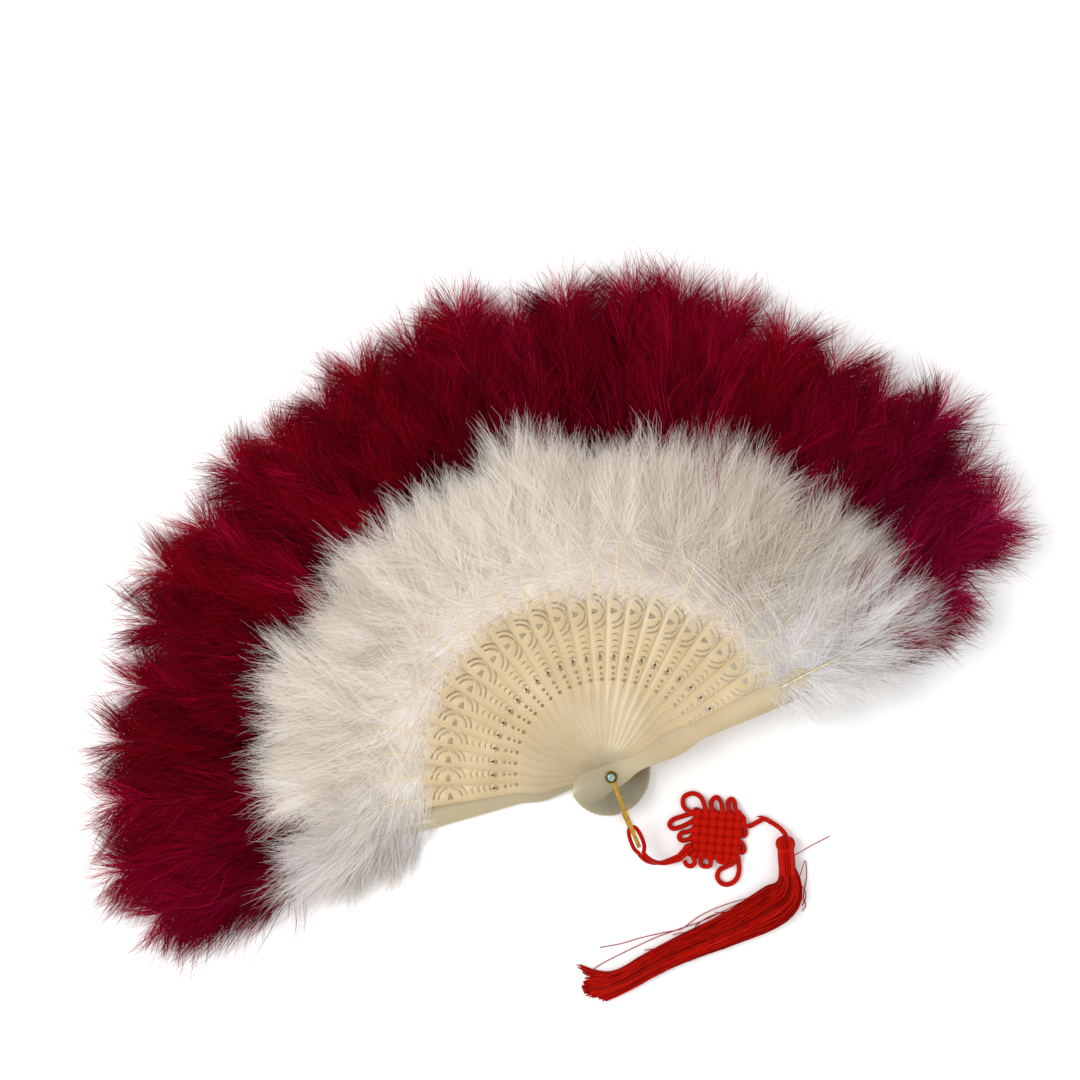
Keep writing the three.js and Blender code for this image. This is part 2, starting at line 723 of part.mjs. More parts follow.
const guardGeometry = slab(bladeShape(), GUARD_THICKNESS);
const stickGeometry = slab(piercedShape(), STICK_THICKNESS);
for (let index = 0; index <= LAST_BLADE; index++) {
  const blade = new THREE.Group();
  blade.position.z = bladeZ(index);
  blade.rotation.z = radians(BACK_GUARD_DEGREES - index * BLADE_STEP_DEGREES) - Math.PI / 2;
  fan.add(blade);
  const isGuard = index === 0 || index === LAST_BLADE;
  add(blade, bladeName(index), isGuard ? guardGeometry : stickGeometry, IVORY);
  add(blade, `plume_${String(index).padStart(2, "0")}`, plumeGeometry(index), CRIMSON);
}

add(fan, "rivet", rivetGeometry(), RIVET_METAL);
add(fan, "washer", slab(ringShape(WASHER_RADIUS), WASHER_THICKNESS, WASHER_Z), DARK_BRASS);
add(fan, "bail", bailGeometry(), BRASS);

const hung = new THREE.Group();
hung.position.y = -BAIL_REACH;
fan.add(hung);
add(hung, "hanger_cord", hangerGeometry(), RED_CORD);

const knot = add(hung, "knot", knotGeometry(), RED_CORD);
knot.position.set(...KNOT_CENTRE, 0);
knot.rotation.z = radians(KNOT_TURN_DEGREES);

add(hung, "tassel_cord", cordTube(TASSEL_CORD_ROUTE, CORD_DIAMETER, TASSEL_CORD_STEPS), RED_CORD);

const capTurn = radians(CAP_TURN_DEGREES);
const capAxis = new THREE.Vector3(Math.cos(capTurn), Math.sin(capTurn), 0);
const [cordEndX, cordEndY] = TASSEL_CORD_ROUTE[TASSEL_CORD_ROUTE.length - 1];
const cap = add(hung, "tassel_cap", capGeometry(), RED_CORD);
cap.position.set(cordEndX, cordEndY, CAP_RADIUS + CAP_LIFT).addScaledVector(capAxis, CAP_GAP);
cap.rotation.z = capTurn - Math.PI / 2;

const skirt = add(hung, "tassel_skirt", skirtGeometry(), RED_THREAD);
skirt.position.set(cap.position.x, cap.position.y, 0).addScaledVector(capAxis, CAP_LENGTH);

export default fan;
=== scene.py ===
import json
import math
from typing import NamedTuple

import bpy
import numpy as np
from mathutils import Matrix, Vector

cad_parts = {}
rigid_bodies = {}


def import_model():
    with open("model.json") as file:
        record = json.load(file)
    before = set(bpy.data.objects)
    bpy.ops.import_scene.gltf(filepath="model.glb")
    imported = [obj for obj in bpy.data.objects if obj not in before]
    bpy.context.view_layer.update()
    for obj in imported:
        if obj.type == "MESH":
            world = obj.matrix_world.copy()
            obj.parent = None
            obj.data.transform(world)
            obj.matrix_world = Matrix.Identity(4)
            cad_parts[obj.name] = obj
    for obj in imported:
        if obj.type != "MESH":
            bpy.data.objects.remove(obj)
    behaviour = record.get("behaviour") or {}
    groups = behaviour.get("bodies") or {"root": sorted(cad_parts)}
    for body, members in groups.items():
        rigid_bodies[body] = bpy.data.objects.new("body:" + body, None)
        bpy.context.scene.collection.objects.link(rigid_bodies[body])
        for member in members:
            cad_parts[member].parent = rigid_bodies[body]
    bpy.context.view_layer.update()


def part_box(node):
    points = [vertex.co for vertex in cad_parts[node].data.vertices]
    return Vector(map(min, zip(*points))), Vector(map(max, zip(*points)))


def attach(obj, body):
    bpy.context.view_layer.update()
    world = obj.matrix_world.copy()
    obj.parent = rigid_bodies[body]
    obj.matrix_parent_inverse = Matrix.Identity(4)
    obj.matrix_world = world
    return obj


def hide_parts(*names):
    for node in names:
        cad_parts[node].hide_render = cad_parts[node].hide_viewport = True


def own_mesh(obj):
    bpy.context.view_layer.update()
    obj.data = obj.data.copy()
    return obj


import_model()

bl_info = {
    "name": "Feather fan",
    "version": (1, 0, 0),
    "blender": (4, 5, 0),
    "location": "3D View > Sidebar > Fan",
    "description": "Dresses an open folding fan with pierced sticks, marabou plumes and a red tassel",
    "category": "Add Mesh",
}

MM = 0.001
FULL_TURN = 2 * math.pi
SHARP_TURN = math.radians(40)
MERGE_DISTANCE = 1e-6
TURNING_STEPS = 40
UP = np.array([0, 0, 1.0])

# The fan as a whole, as the solids have it
PIERCED_STICKS = 24
LAST_BLADE = PIERCED_STICKS + 1
SPREAD = math.radians(168)
BLADE_STEP = SPREAD / LAST_BLADE
BACK_GUARD_ANGLE = (math.pi + SPREAD) / 2
BLADE_REACH = 109 * MM
QUILL_START = 94 * MM
BACK_GUARD_Z = 2.04 * MM
FIRST_STICK_Z = 3.59 * MM
STICK_PITCH = 0.85 * MM
STICK_THICKNESS = 0.7 * MM
GUARD_THICKNESS = 1.4 * MM


# Helpers


def hex_colour(code):
    """An sRGB colour written as a hex code, turned to the linear values that a socket takes."""
    parts = [int(code[i : i + 2], 16) / 255 for i in (0, 2, 4)]
    linear = [c / 12.92 if c <= 0.04045 else ((c + 0.055) / 1.055) ** 2.4 for c in parts]
    return (*linear, 1.0)


def add_node(tree, kind, links=(), **settings):
    """Adds one node. A setting is a property of the node or the value of one of its sockets."""
    made = tree.nodes.new(kind)
    for name, value in settings.items():
        if hasattr(made, name):
            setattr(made, name, value)
        else:
            made.inputs[name.replace("_", " ")].default_value = value
    for socket, source in links:
        tree.links.new(source, made.inputs[socket])
    return made


def deselect():
    if bpy.context.object and bpy.context.object.mode != "OBJECT":
        bpy.ops.object.mode_set(mode="OBJECT")
    bpy.ops.object.select_all(action="DESELECT")


def select_only(made):
    deselect()
    made.select_set(True)
    bpy.context.view_layer.objects.active = made


def linked(name, data):
    made = bpy.data.objects.new(name, data)
    bpy.context.scene.collection.objects.link(made)
    return made


def mesh_object(name, points, quads, finish, smooth=True, maps=()):
    """A mesh object from arrays. A face whose last two corners are one point is a triangle.

    Each map has a name and a place for each corner of each face."""
    quads = np.asarray(quads, np.int32)
    keep = np.ones(quads.shape, bool)
    keep[:, 3] = quads[:, 2] != quads[:, 3]
    corners = keep.sum(axis=1)
    mesh = bpy.data.meshes.new(name)
    mesh.vertices.add(len(points))
    mesh.vertices.foreach_set("co", np.asarray(points, np.float32).ravel())
    mesh.loops.add(int(corners.sum()))
    mesh.loops.foreach_set("vertex_index", quads[keep])
    mesh.polygons.add(len(quads))
    mesh.polygons.foreach_set("loop_start", np.r_[0, np.cumsum(corners)[:-1]].astype(np.int32))
    mesh.polygons.foreach_set("use_smooth", np.full(len(quads), smooth))
    mesh.update(calc_edges=True)
    mesh.validate()
    for map_name, places in maps:
        layer = mesh.uv_layers.new(name=map_name)
        layer.data.foreach_set("uv", places[keep].astype(np.float32).ravel())
    mesh.materials.append(finish)
    return linked(name, mesh)


def point_attribute(mesh, name, values):
    made = mesh.attributes.new(name, "FLOAT", "POINT")
    made.data.foreach_set("value", np.asarray(values, np.float32))


def points_of(mesh):
    places = np.zeros(len(mesh.vertices) * 3, np.float32)
    mesh.vertices.foreach_get("co", places)
    return places.reshape(-1, 3)


def catmull_rom(points, steps):
    """A smooth line through given points, with this many steps between two of them."""
    p = np.asarray(points, float)
    p = np.vstack([2 * p[0] - p[1], p, 2 * p[-1] - p[-2]])
    t = (np.arange(steps) / steps)[:, None]
    line = []
    for a, b, c, d in zip(p[:-3], p[1:-2], p[2:-1], p[3:]):
        square = (2 * a - 5 * b + 4 * c - d) * t**2
        cube = (3 * b - a - 3 * c + d) * t**3
        line.append((2 * b + (c - a) * t + square + cube) / 2)
    return np.vstack([*line, p[-2:-1]])


def distances(line):
    """How far each point of a line lies along it."""
    return np.r_[0, np.cumsum(np.linalg.norm(np.diff(line, axis=0), axis=1))]


def length_of(line):
    return float(distances(line)[-1])


def spaced(line, step):
    """The same line with points at equal distances."""
    line = np.asarray(line, float)
    along = distances(line)
    places = np.linspace(0, along[-1], max(2, int(round(along[-1] / step)) + 1))
    return np.column_stack([np.interp(places, along, line[:, i]) for i in range(3)])


def tangents_of(line):
    t = np.gradient(np.asarray(line, float), axis=0)
    return t / np.linalg.norm(t, axis=1)[:, None]


def section_axes(line):
    """The level and the rising direction across a line that never stands upright for long."""
    upright = 1e-3
    t = tangents_of(line)
    level = np.cross(UP, t)
    for i in np.flatnonzero(np.linalg.norm(level, axis=1) < upright):
        level[i] = level[i - 1]
    level /= np.linalg.norm(level, axis=1)[:, None]
    return level, np.cross(t, level)


def between_rings(count, sides):
    """For each face between rings of points: its ring, its place round it and the next place."""
    i, j = np.meshgrid(np.arange(count - 1), np.arange(sides), indexing="ij")
    i, j = i.ravel(), j.ravel()
    return i, j, (j + 1) % sides


def tubes(name, lines, half_widths, half_heights, sides, finish, tints=None):
    """Closed tubes along lines, in one mesh. Half widths and heights are one or one for each point.

    The map named lay runs along each tube in its first axis and round it in its second, in metres."""
    points, quads, places, tones = [], [], [], []
    start, middle_tone = 0, 0.5
    angles = (np.arange(sides) + 0.5) / sides * FULL_TURN
    for index, line in enumerate(lines):
        line = np.asarray(line, float)
        count = len(line)
        level, rise = section_axes(line)
        wide = np.broadcast_to(half_widths, count)[:, None, None]
        high = np.broadcast_to(half_heights, count)[:, None, None]
        ring = line[:, None] + level[:, None] * wide * np.cos(angles)[None, :, None]
        ring = ring + rise[:, None] * high * np.sin(angles)[None, :, None]
        points.append(np.vstack([ring.reshape(-1, 3), line[:1], line[-1:]]))
        i, j, k = between_rings(count, sides)
        quads.append(start + np.column_stack([i, i, i + 1, i + 1]) * sides + np.column_stack([j, k, k, j]))
        along = distances(line)
        across = float(np.max(wide)) * FULL_TURN / sides
        firsts, seconds = [along[i], along[i], along[i + 1], along[i + 1]], [j, j + 1, j + 1, j]
        places.append(np.stack([np.stack(firsts, 1), np.stack(seconds, 1) * across], axis=2))
        j = np.arange(sides)
        k = (j + 1) % sides
        first, last, tail = count * sides, count * sides + 1, (count - 1) * sides
        quads.append(start + np.column_stack([k, j, j * 0 + first, j * 0 + first]))
        quads.append(start + np.column_stack([tail + j, tail + k, j * 0 + last, j * 0 + last]))
        places.append(np.zeros((2 * sides, 4, 2)))
        tones.append(np.full(count * sides + 2, middle_tone if tints is None else tints[index]))
        start += count * sides + 2
    maps = [("lay", np.vstack(places))]
    made = mesh_object(name, np.vstack(points), np.vstack(quads), finish, maps=maps)
    point_attribute(made.data, "tint", np.concatenate(tones))
    return made


def even_normals():
    """Merges the points of the active object that lie on each other, and turns its faces outwards."""
    bpy.ops.mesh.select_all(action="SELECT")
    bpy.ops.mesh.remove_doubles(threshold=MERGE_DISTANCE)
    bpy.ops.mesh.normals_make_consistent(inside=False)
    bpy.ops.object.mode_set(mode="OBJECT")


def spun(name, profile, lift, steps, finish):
    """A profile in millimetres, as distance from the axis and height, turned round it by the spin tool."""
    mesh = bpy.data.meshes.new(name)
    edges = [(i, i + 1) for i in range(len(profile) - 1)]
    mesh.from_pydata([(r * MM, 0, lift + z * MM) for r, z in profile], edges, [])
    made = linked(name, mesh)
    select_only(made)
    bpy.ops.object.mode_set(mode="EDIT")
    bpy.ops.mesh.select_all(action="SELECT")
    bpy.ops.mesh.spin(steps=steps, angle=FULL_TURN, center=(0, 0, 0), axis=(0, 0, 1))
    even_normals()
    bpy.ops.object.shade_smooth_by_angle(angle=SHARP_TURN)
    mesh.materials.append(finish)
    return made


def joined(name, parts):
    """Several objects made one, under a name."""
    deselect()
    for part in parts:
        part.select_set(True)
    bpy.context.view_layer.objects.active = parts[0]
    bpy.ops.object.join()
    made = bpy.context.object
    made.name = name
    made.data.name = name
    return made


def blade_angle(index):
    return BACK_GUARD_ANGLE - index * BLADE_STEP


def blade_z(index):
    return BACK_GUARD_Z if index == 0 else FIRST_STICK_Z + (index - 1) * STICK_PITCH


def blade_name(index):
    if index == 0:
        return "back_guard"
    return "front_guard" if index == LAST_BLADE else f"stick_{index:02d}"


def on_blade(points, index):
    """Points given as across the blade, out along it and up, put where that blade lies."""
    turn = blade_angle(index) - math.pi / 2
    c, s = math.cos(turn), math.sin(turn)
    x, y, z = points[..., 0], points[..., 1], points[..., 2]
    return np.stack([c * x - s * y, s * x + c * y, z], axis=-1)


# Parts of materials


def new_material(name):
    """A material with nothing in it."""
    made = bpy.data.materials.new(name)
    made.use_nodes = True
    made.node_tree.nodes.clear()
    return made, made.node_tree


def show(tree, shader):
    output = add_node(tree, "ShaderNodeOutputMaterial")
    tree.links.new(shader.outputs[0], output.inputs["Surface"])


def set_ramp(ramp, stops):
    """Gives a colour ramp its stops, each a place and a hex code."""
    elements = ramp.color_ramp.elements
    while len(elements) > 1:
        elements.remove(elements[-1])
    for i, (place, code) in enumerate(stops):
        element = elements[0] if i == 0 else elements.new(place)
        element.position = place
        element.color = hex_colour(code)


# Materials


def ivory_plastic():
    """Injection-moulded ABS, dyed ivory: a satin skin on a slightly domed section, which lets light through.

    Towards the heads, over the back guard and partly over the front guard, its colour turns greyer: painted
    shade."""
    made, tree = new_material("ivory ABS, moulded")
    cloud_size, skin_size, skin_depth = 20 * MM, 1.2 * MM, 0.1 * MM
    dome = 46.0  # how much a stick's section falls away from its middle, per metre squared
    place = add_node(tree, "ShaderNodeTexCoord").outputs["Object"]
    cloud = add_node(tree, "ShaderNodeTexNoise", [("Vector", place)], Scale=1 / cloud_size, Detail=3.0)
    tone = add_node(tree, "ShaderNodeValToRGB", [("Fac", cloud.outputs["Fac"])])
    set_ramp(tone, [(0.3, "ddcfaa"), (0.55, "e7dab8"), (0.75, "efe4c8")])
    # Painted shade: the ivory is mixed towards a grey (bebba4) by a share at each point, highest at the heads
    # and on the guards
    painted_shade = add_node(tree, "ShaderNodeAttribute", attribute_name="painted_shade").outputs["Fac"]
    links = [(0, painted_shade), (6, tone.outputs["Color"])]
    shade_painted = add_node(tree, "ShaderNodeMix", links, data_type="RGBA")
    shade_painted.inputs[7].default_value = hex_colour("bebba4")
    lay = add_node(tree, "ShaderNodeUVMap", uv_map="lay").outputs["UV"]
    across = add_node(tree, "ShaderNodeSeparateXYZ", [("Vector", lay)]).outputs["X"]
    square = add_node(tree, "ShaderNodeMath", [(0, across), (1, across)], operation="MULTIPLY")
    height = add_node(tree, "ShaderNodeMath", [(0, square.outputs[0])], operation="MULTIPLY")
    height.inputs[1].default_value = -dome
    camber = add_node(tree, "ShaderNodeBump", [("Height", height.outputs[0])], Strength=1.0, Distance=1.0)
    skin = add_node(tree, "ShaderNodeTexNoise", [("Vector", place)], Scale=1 / skin_size, Detail=2.0)
    links = [("Height", skin.outputs["Fac"]), ("Normal", camber.outputs["Normal"])]
    bump = add_node(tree, "ShaderNodeBump", links, Strength=0.06, Distance=skin_depth)
    links = [("Value", cloud.outputs["Fac"])]
    gloss = add_node(tree, "ShaderNodeMapRange", links, To_Min=0.17, To_Max=0.27)
    links = [
        ("Base Color", shade_painted.outputs[2]),
        ("Normal", bump.outputs["Normal"]),
        ("Roughness", gloss.outputs["Result"]),
    ]
    surface = add_node(tree, "ShaderNodeBsdfPrincipled", links, IOR=1.53)
    through = add_node(tree, "ShaderNodeBsdfTranslucent", Color=hex_colour("f8e6c0"))
    both = add_node(tree, "ShaderNodeMixShader", [(1, surface.outputs[0]), (2, through.outputs[0])])
    both.inputs[0].default_value = 0.5
    show(tree, both)
    return made


def quill_keratin():
    """The feather's bare shaft: keratin, cream and glossy, a little cloudy."""
    made, tree = new_material("quill keratin")
    cloud_size = 3 * MM
    place = add_node(tree, "ShaderNodeTexCoord").outputs["Object"]
    cloud = add_node(tree, "ShaderNodeTexNoise", [("Vector", place)], Scale=1 / cloud_size, Detail=2.0)
    tone = add_node(tree, "ShaderNodeValToRGB", [("Fac", cloud.outputs["Fac"])])
    set_ramp(tone, [(0.3, "c4b48a"), (0.6, "d9cca6"), (0.8, "e6dcc0")])
    links = [("Base Color", tone.outputs["Color"])]
    show(tree, add_node(tree, "ShaderNodeBsdfPrincipled", links, Roughness=0.3, IOR=1.55))
    return made


def marabou(name, stops, shifted, tip_light_code, through_share, shine):
    """Marabou down: fine soft barbs that let light through, each lock a little lighter or darker; towards the
    tips they take a tip colour, painted light through the thin ends.
    """
    made, tree = new_material(name)
    tint = add_node(tree, "ShaderNodeAttribute", attribute_name="tint").outputs["Fac"]
    shift = add_node(tree, "ShaderNodeAttribute", attribute_name="shift").outputs["Fac"]
    along = add_node(tree, "ShaderNodeAttribute", attribute_name="along").outputs["Fac"]
    base = add_node(tree, "ShaderNodeValToRGB", [("Fac", tint)])
    set_ramp(base, stops)
    other = add_node(tree, "ShaderNodeValToRGB", [("Fac", tint)])
    set_ramp(other, shifted)
    links = [(0, shift), (6, base.outputs["Color"]), (7, other.outputs["Color"])]
    mixed = add_node(tree, "ShaderNodeMix", links, data_type="RGBA")
    # Painted light: towards the tips the colour turns to the tip colour, for light through the thin ends
    links = [("Value", along)]
    tip = add_node(tree, "ShaderNodeMapRange", links, From_Min=0.7, From_Max=1.0, To_Max=0.45)
    links = [(0, tip.outputs["Result"]), (6, mixed.outputs[2])]
    tip_lit = add_node(tree, "ShaderNodeMix", links, data_type="RGBA")
    tip_lit.inputs[7].default_value = hex_colour(tip_light_code)
    links = [("Base Color", tip_lit.outputs[2])]
    finish = {"Roughness": 0.75, "IOR": 1.4, "Specular_IOR_Level": shine}
    surface = add_node(tree, "ShaderNodeBsdfPrincipled", links, **finish)
    through = add_node(tree, "ShaderNodeBsdfTranslucent", [("Color", tip_lit.outputs[2])])
    both = add_node(tree, "ShaderNodeMixShader", [(1, surface.outputs[0]), (2, through.outputs[0])])
    both.inputs[0].default_value = through_share
    show(tree, both)
    return made


def white_marabou():
    """Undyed down: warm white, cooler where it is shifted. It glows, as light passes many barbs."""
    warm = [(0.0, "dcd1c5"), (0.35, "f0e9e0"), (0.7, "fdf7f0"), (1.0, "fffdfb")]
    cool = [(0.0, "cfcdcc"), (0.35, "e8e7e8"), (0.7, "f8f8f9"), (1.0, "ffffff")]
    return marabou("white marabou down", warm, cool, "f5ede5", 0.58, 0.15)


def crimson_marabou():
    """Down from a dye bath: deep crimson, nearer to purple where it is shifted, and almost without shine."""
    red = [(0.0, "2c0004"), (0.35, "6c000a"), (0.7, "980013"), (1.0, "bc0426")]
    purple = [(0.0, "340010"), (0.35, "720026"), (0.7, "9c0840"), (1.0, "c42468")]
    return marabou("crimson marabou down", red, purple, "9c0e2a", 0.45, 0.05)


def metal(name, stops, roughness):
    """A rolled or struck metal, with fine marks in its skin."""
    made, tree = new_material(name)
    mark_size, mark_depth = 1.5 * MM, 0.05 * MM
    place = add_node(tree, "ShaderNodeTexCoord").outputs["Object"]
    marks = add_node(tree, "ShaderNodeTexNoise", [("Vector", place)], Scale=1 / mark_size, Detail=4.0)
    tone = add_node(tree, "ShaderNodeValToRGB", [("Fac", marks.outputs["Fac"])])
    set_ramp(tone, stops)
    links = [("Height", marks.outputs["Fac"])]
    bump = add_node(tree, "ShaderNodeBump", links, Strength=0.15, Distance=mark_depth)
    links = [("Base Color", tone.outputs["Color"]), ("Normal", bump.outputs["Normal"])]
    show(tree, add_node(tree, "ShaderNodeBsdfPrincipled", links, Metallic=1.0, Roughness=roughness))
    return made


def brass():
    """Rolled brass strip, polished: warm yellow with a clear shine."""
    return metal("brass strip, polished", [(0.3, "9a7626"), (0.6, "c79a3a"), (0.8, "e0bb5c")], 0.28)


def dark_brass():
    """Brass, brown and dull: its dark tone is painted shade on a ring in shadow."""
    # Painted shade: dark brown stops for the washer's ring
    return metal("brass washer, painted shade", [(0.3, "33301f"), (0.6, "5d5332"), (0.8, "80703f")], 0.5)


def rivet_steel():
    """Zinc-plated steel, set by a punch: a greenish grey film and small dents."""
    return metal("rivet steel, plated", [(0.3, "7f9794"), (0.6, "a9bfbb"), (0.8, "c9d8d4")], 0.35)


# Dyed rayon, in the cord and in the thread: a soft sheen of its own red
RAYON = {"IOR": 1.5, "Specular_IOR_Level": 0.2, "Specular_Tint": hex_colour("ff8060")}


def satin_cord():
    """Braided rayon satin cord, 2.5 mm: slanting strands with a soft shine; their colour is lighter on the
    crowns, a painted highlight, and darker between them, painted shade.
    """
    made, tree = new_material("red satin cord, braided")
    pitch, depth, slant = 2.6 * MM, 0.2 * MM, math.radians(38)
    wave = {"Scale": 1 / pitch, "Distortion": 0.5, "Detail": 2.0, "Detail_Scale": 2.0}
    lay = add_node(tree, "ShaderNodeUVMap", uv_map="lay").outputs["UV"]
    turned = add_node(tree, "ShaderNodeMapping", [("Vector", lay)], Rotation=(0, 0, slant))
    strands = add_node(tree, "ShaderNodeTexWave", [("Vector", turned.outputs["Vector"])], **wave)
    # Painted highlight and shade: the strands' colour follows their height, lighter on the crowns and darker
    # in the grooves
    tone = add_node(tree, "ShaderNodeValToRGB", [("Fac", strands.outputs["Fac"])])
    set_ramp(tone, [(0.0, "9a0803"), (0.45, "b00d05"), (1.0, "c21407")])
    tint = add_node(tree, "ShaderNodeAttribute", attribute_name="tint").outputs["Fac"]
    light = add_node(tree, "ShaderNodeMapRange", [("Value", tint)], To_Min=0.82, To_Max=1.12)
    links = [("Color", tone.outputs["Color"]), ("Value", light.outputs["Result"])]
    shade = add_node(tree, "ShaderNodeHueSaturation", links)
    links = [("Height", strands.outputs["Fac"])]
    bump = add_node(tree, "ShaderNodeBump", links, Strength=0.35, Distance=depth)
    links = [("Base Color", shade.outputs["Color"]), ("Normal", bump.outputs["Normal"])]
    show(tree, add_node(tree, "ShaderNodeBsdfPrincipled", links, Roughness=0.5, **RAYON))
    return made


def rayon_thread():
    """Rayon tassel thread, 0.6 mm: twisted, glossy, each thread a little lighter or darker."""
    made, tree = new_material("red rayon thread, twisted")
    pitch, depth, slant = 3 * MM, 0.1 * MM, math.radians(30)
    lay = add_node(tree, "ShaderNodeUVMap", uv_map="lay").outputs["UV"]
    turned = add_node(tree, "ShaderNodeMapping", [("Vector", lay)], Rotation=(0, 0, slant))
    links = [("Vector", turned.outputs["Vector"])]
    twist = add_node(tree, "ShaderNodeTexWave", links, Scale=1 / pitch, Distortion=0.3)
    tint = add_node(tree, "ShaderNodeAttribute", attribute_name="tint").outputs["Fac"]
    tone = add_node(tree, "ShaderNodeValToRGB", [("Fac", tint)])
    set_ramp(tone, [(0.0, "6e0302"), (0.4, "9c0703"), (0.75, "b90f05"), (1.0, "cf1e0b")])
    links = [("Height", twist.outputs["Fac"])]
    bump = add_node(tree, "ShaderNodeBump", links, Strength=0.3, Distance=depth)
    links = [("Base Color", tone.outputs["Color"]), ("Normal", bump.outputs["Normal"])]
    show(tree, add_node(tree, "ShaderNodeBsdfPrincipled", links, Roughness=0.45, **RAYON))
    return made


MADE = {}


def material(maker):
    """The material of that maker, made once."""
    if maker not in MADE:
        MADE[maker] = maker()
    return MADE[maker]


# Settings that a user would change


def length_setting(name, description, default):
    return bpy.props.FloatProperty(
        name=name, description=description, default=default, unit="LENGTH", precision=5
    )


class FanPlumeSettings(bpy.types.PropertyGroup):
    barb_width: length_setting("Barb width", "How wide a barb is at its root", 0.3 * MM)
    quill_width: length_setting("Quill width", "How wide a bare quill is at its root", 1.5 * MM)


class FanCordSettings(bpy.types.PropertyGroup):
    single: length_setting("Cord", "Diameter of the satin cord", 2.5 * MM)
    doubled: length_setting("Doubled cord", "Width of the doubled cord", 4.2 * MM)
    thread: length_setting("Thread", "Diameter of a tassel thread", 0.62 * MM)
    threads: bpy.props.IntProperty(name="Threads", description="Threads in the tassel", default=420, min=1)


class FanStageSettings(bpy.types.PropertyGroup):
    lens: bpy.props.FloatProperty(name="Lens", description="Focal length in millimetres", default=48.3)
    height: length_setting("Camera height", "How high the camera is above the table", 0.735)
    key: bpy.props.FloatProperty(
        name="Key light", description="Power of the large soft lamp, in watts", default=7.5
    )
    fill: bpy.props.FloatProperty(
        name="Fill light", description="Strength of the light from all round", default=0.92
    )
    card: bpy.props.FloatVectorProperty(
        name="Table", description="Colour of the table", subtype="COLOR", size=4, default=hex_colour("fafafa")
    )


# The stage

CAMERA_FOOT = (10.6 * MM, 120.7 * MM)
CAMERA_ROLL = math.radians(-21.7)
SENSOR_WIDTH = 36
NEAREST_SEEN = 10 * MM
TABLE_SIZE = 6
TABLE_MIDDLE = (0, 100 * MM, -0.2 * MM)
LAMP_SIZE = 0.65
LAMP_PLACE = (-0.6, 0.42, 1.0)
LAMP_AIM = Vector((0, 100 * MM, 0))
WHITE = (1, 1, 1, 1)


def lit_world(fill):
    """Soft light from all round, and plain white to whoever looks at it, past it or through to it."""
    world = bpy.data.worlds.new("studio")
    bpy.context.scene.world = world
    world.use_nodes = True
    tree = world.node_tree
    tree.nodes.clear()
    rays = add_node(tree, "ShaderNodeLightPath").outputs
    soft = add_node(tree, "ShaderNodeBackground", Color=WHITE, Strength=fill)
    white = add_node(tree, "ShaderNodeBackground", Color=WHITE, Strength=1.0)
    sockets = [(0, rays["Is Camera Ray"]), (1, rays["Is Glossy Ray"])]
    seen = add_node(tree, "ShaderNodeMath", sockets, operation="MAXIMUM")
    sockets = [(0, seen.outputs[0]), (1, rays["Is Transmission Ray"])]
    seen = add_node(tree, "ShaderNodeMath", sockets, operation="MAXIMUM")
    sockets = [(0, seen.outputs[0]), (1, soft.outputs[0]), (2, white.outputs[0])]
    both = add_node(tree, "ShaderNodeMixShader", sockets)
    add_node(tree, "ShaderNodeOutputWorld", [("Surface", both.outputs[0])])


class FAN_OT_stage(bpy.types.Operator):
    """Adds the camera, the table and the lights"""

    bl_idname = "fan.stage"
    bl_label = "Stage"

    def execute(self, context):
        settings = context.scene.fan_stage
        camera = bpy.data.cameras.new("camera")
        camera.lens = settings.lens
        camera.sensor_width = SENSOR_WIDTH
        camera.clip_start = NEAREST_SEEN
        seen = linked("camera", camera)
        seen.location = (*CAMERA_FOOT, settings.height)
        seen.rotation_euler = (0, 0, CAMERA_ROLL)
        context.scene.camera = seen

        deselect()
        bpy.ops.mesh.primitive_plane_add(size=TABLE_SIZE, location=TABLE_MIDDLE)
        table = context.object
        table.name = "table"
        surface, tree = new_material("table, white")
        show(tree, add_node(tree, "ShaderNodeBsdfDiffuse", Color=settings.card))
        table.data.materials.append(surface)

        lamp = bpy.data.lights.new("key", "AREA")
        lamp.shape = "DISK"
        lamp.size = LAMP_SIZE
        lamp.energy = settings.key
        lit = linked("key", lamp)
        lit.location = LAMP_PLACE
        lit.rotation_euler = (LAMP_AIM - lit.location).to_track_quat("-Z", "Y").to_euler()
        lit_world(settings.fill)
        context.scene.view_settings.view_transform = "Standard"
        return {"FINISHED"}


# The cords. Their routes are in millimetres, as the solids have them

HANGER_ROUTE = [
    (-0.2, -43.4, 13.6), (1.4, -47.2, 12.0), (4.4, -50.9, 8.4), (8.4, -53.4, 5.0), (12.6, -54.2, 3.3),
    (15.0, -54.3, 3.4), (17.0, -54.0, 4.1), (19.2, -52.9, 4.6), (21.8, -51.7, 4.8), (24.6, -50.9, 4.4),
]
# Where the hanger hangs on the bail's bend, and the right half of its loop round it
HANGER_LOOP = [
    (0, -28.7, 13.7), (1.9, -30.2, 13.7), (2.8, -34, 13.7), (2.7, -39.4, 13.7), (1.4, -42.4, 13.65),
]
HANGER_TWIST = math.radians(200)
HANGER_FLATNESS_SHARE = 0.8
TASSEL_CORD_ROUTE = [
    (56.2, -53.1, 1.3), (58.4, -52.9, 1.3), (61.0, -52.6, 1.3), (64.0, -52.6, 1.4), (66.8, -55.6, 2.2),
    (69.1, -58.8, 3.6), (70.4, -62.0, 4.7), (70.6, -63.7, 4.9), (70.3, -64.6, 4.9),
]
INSIDE_CAP = [(69.0, -68.3, 4.9), (67.6, -72.7, 4.9), (66.2, -77.1, 4.9)]
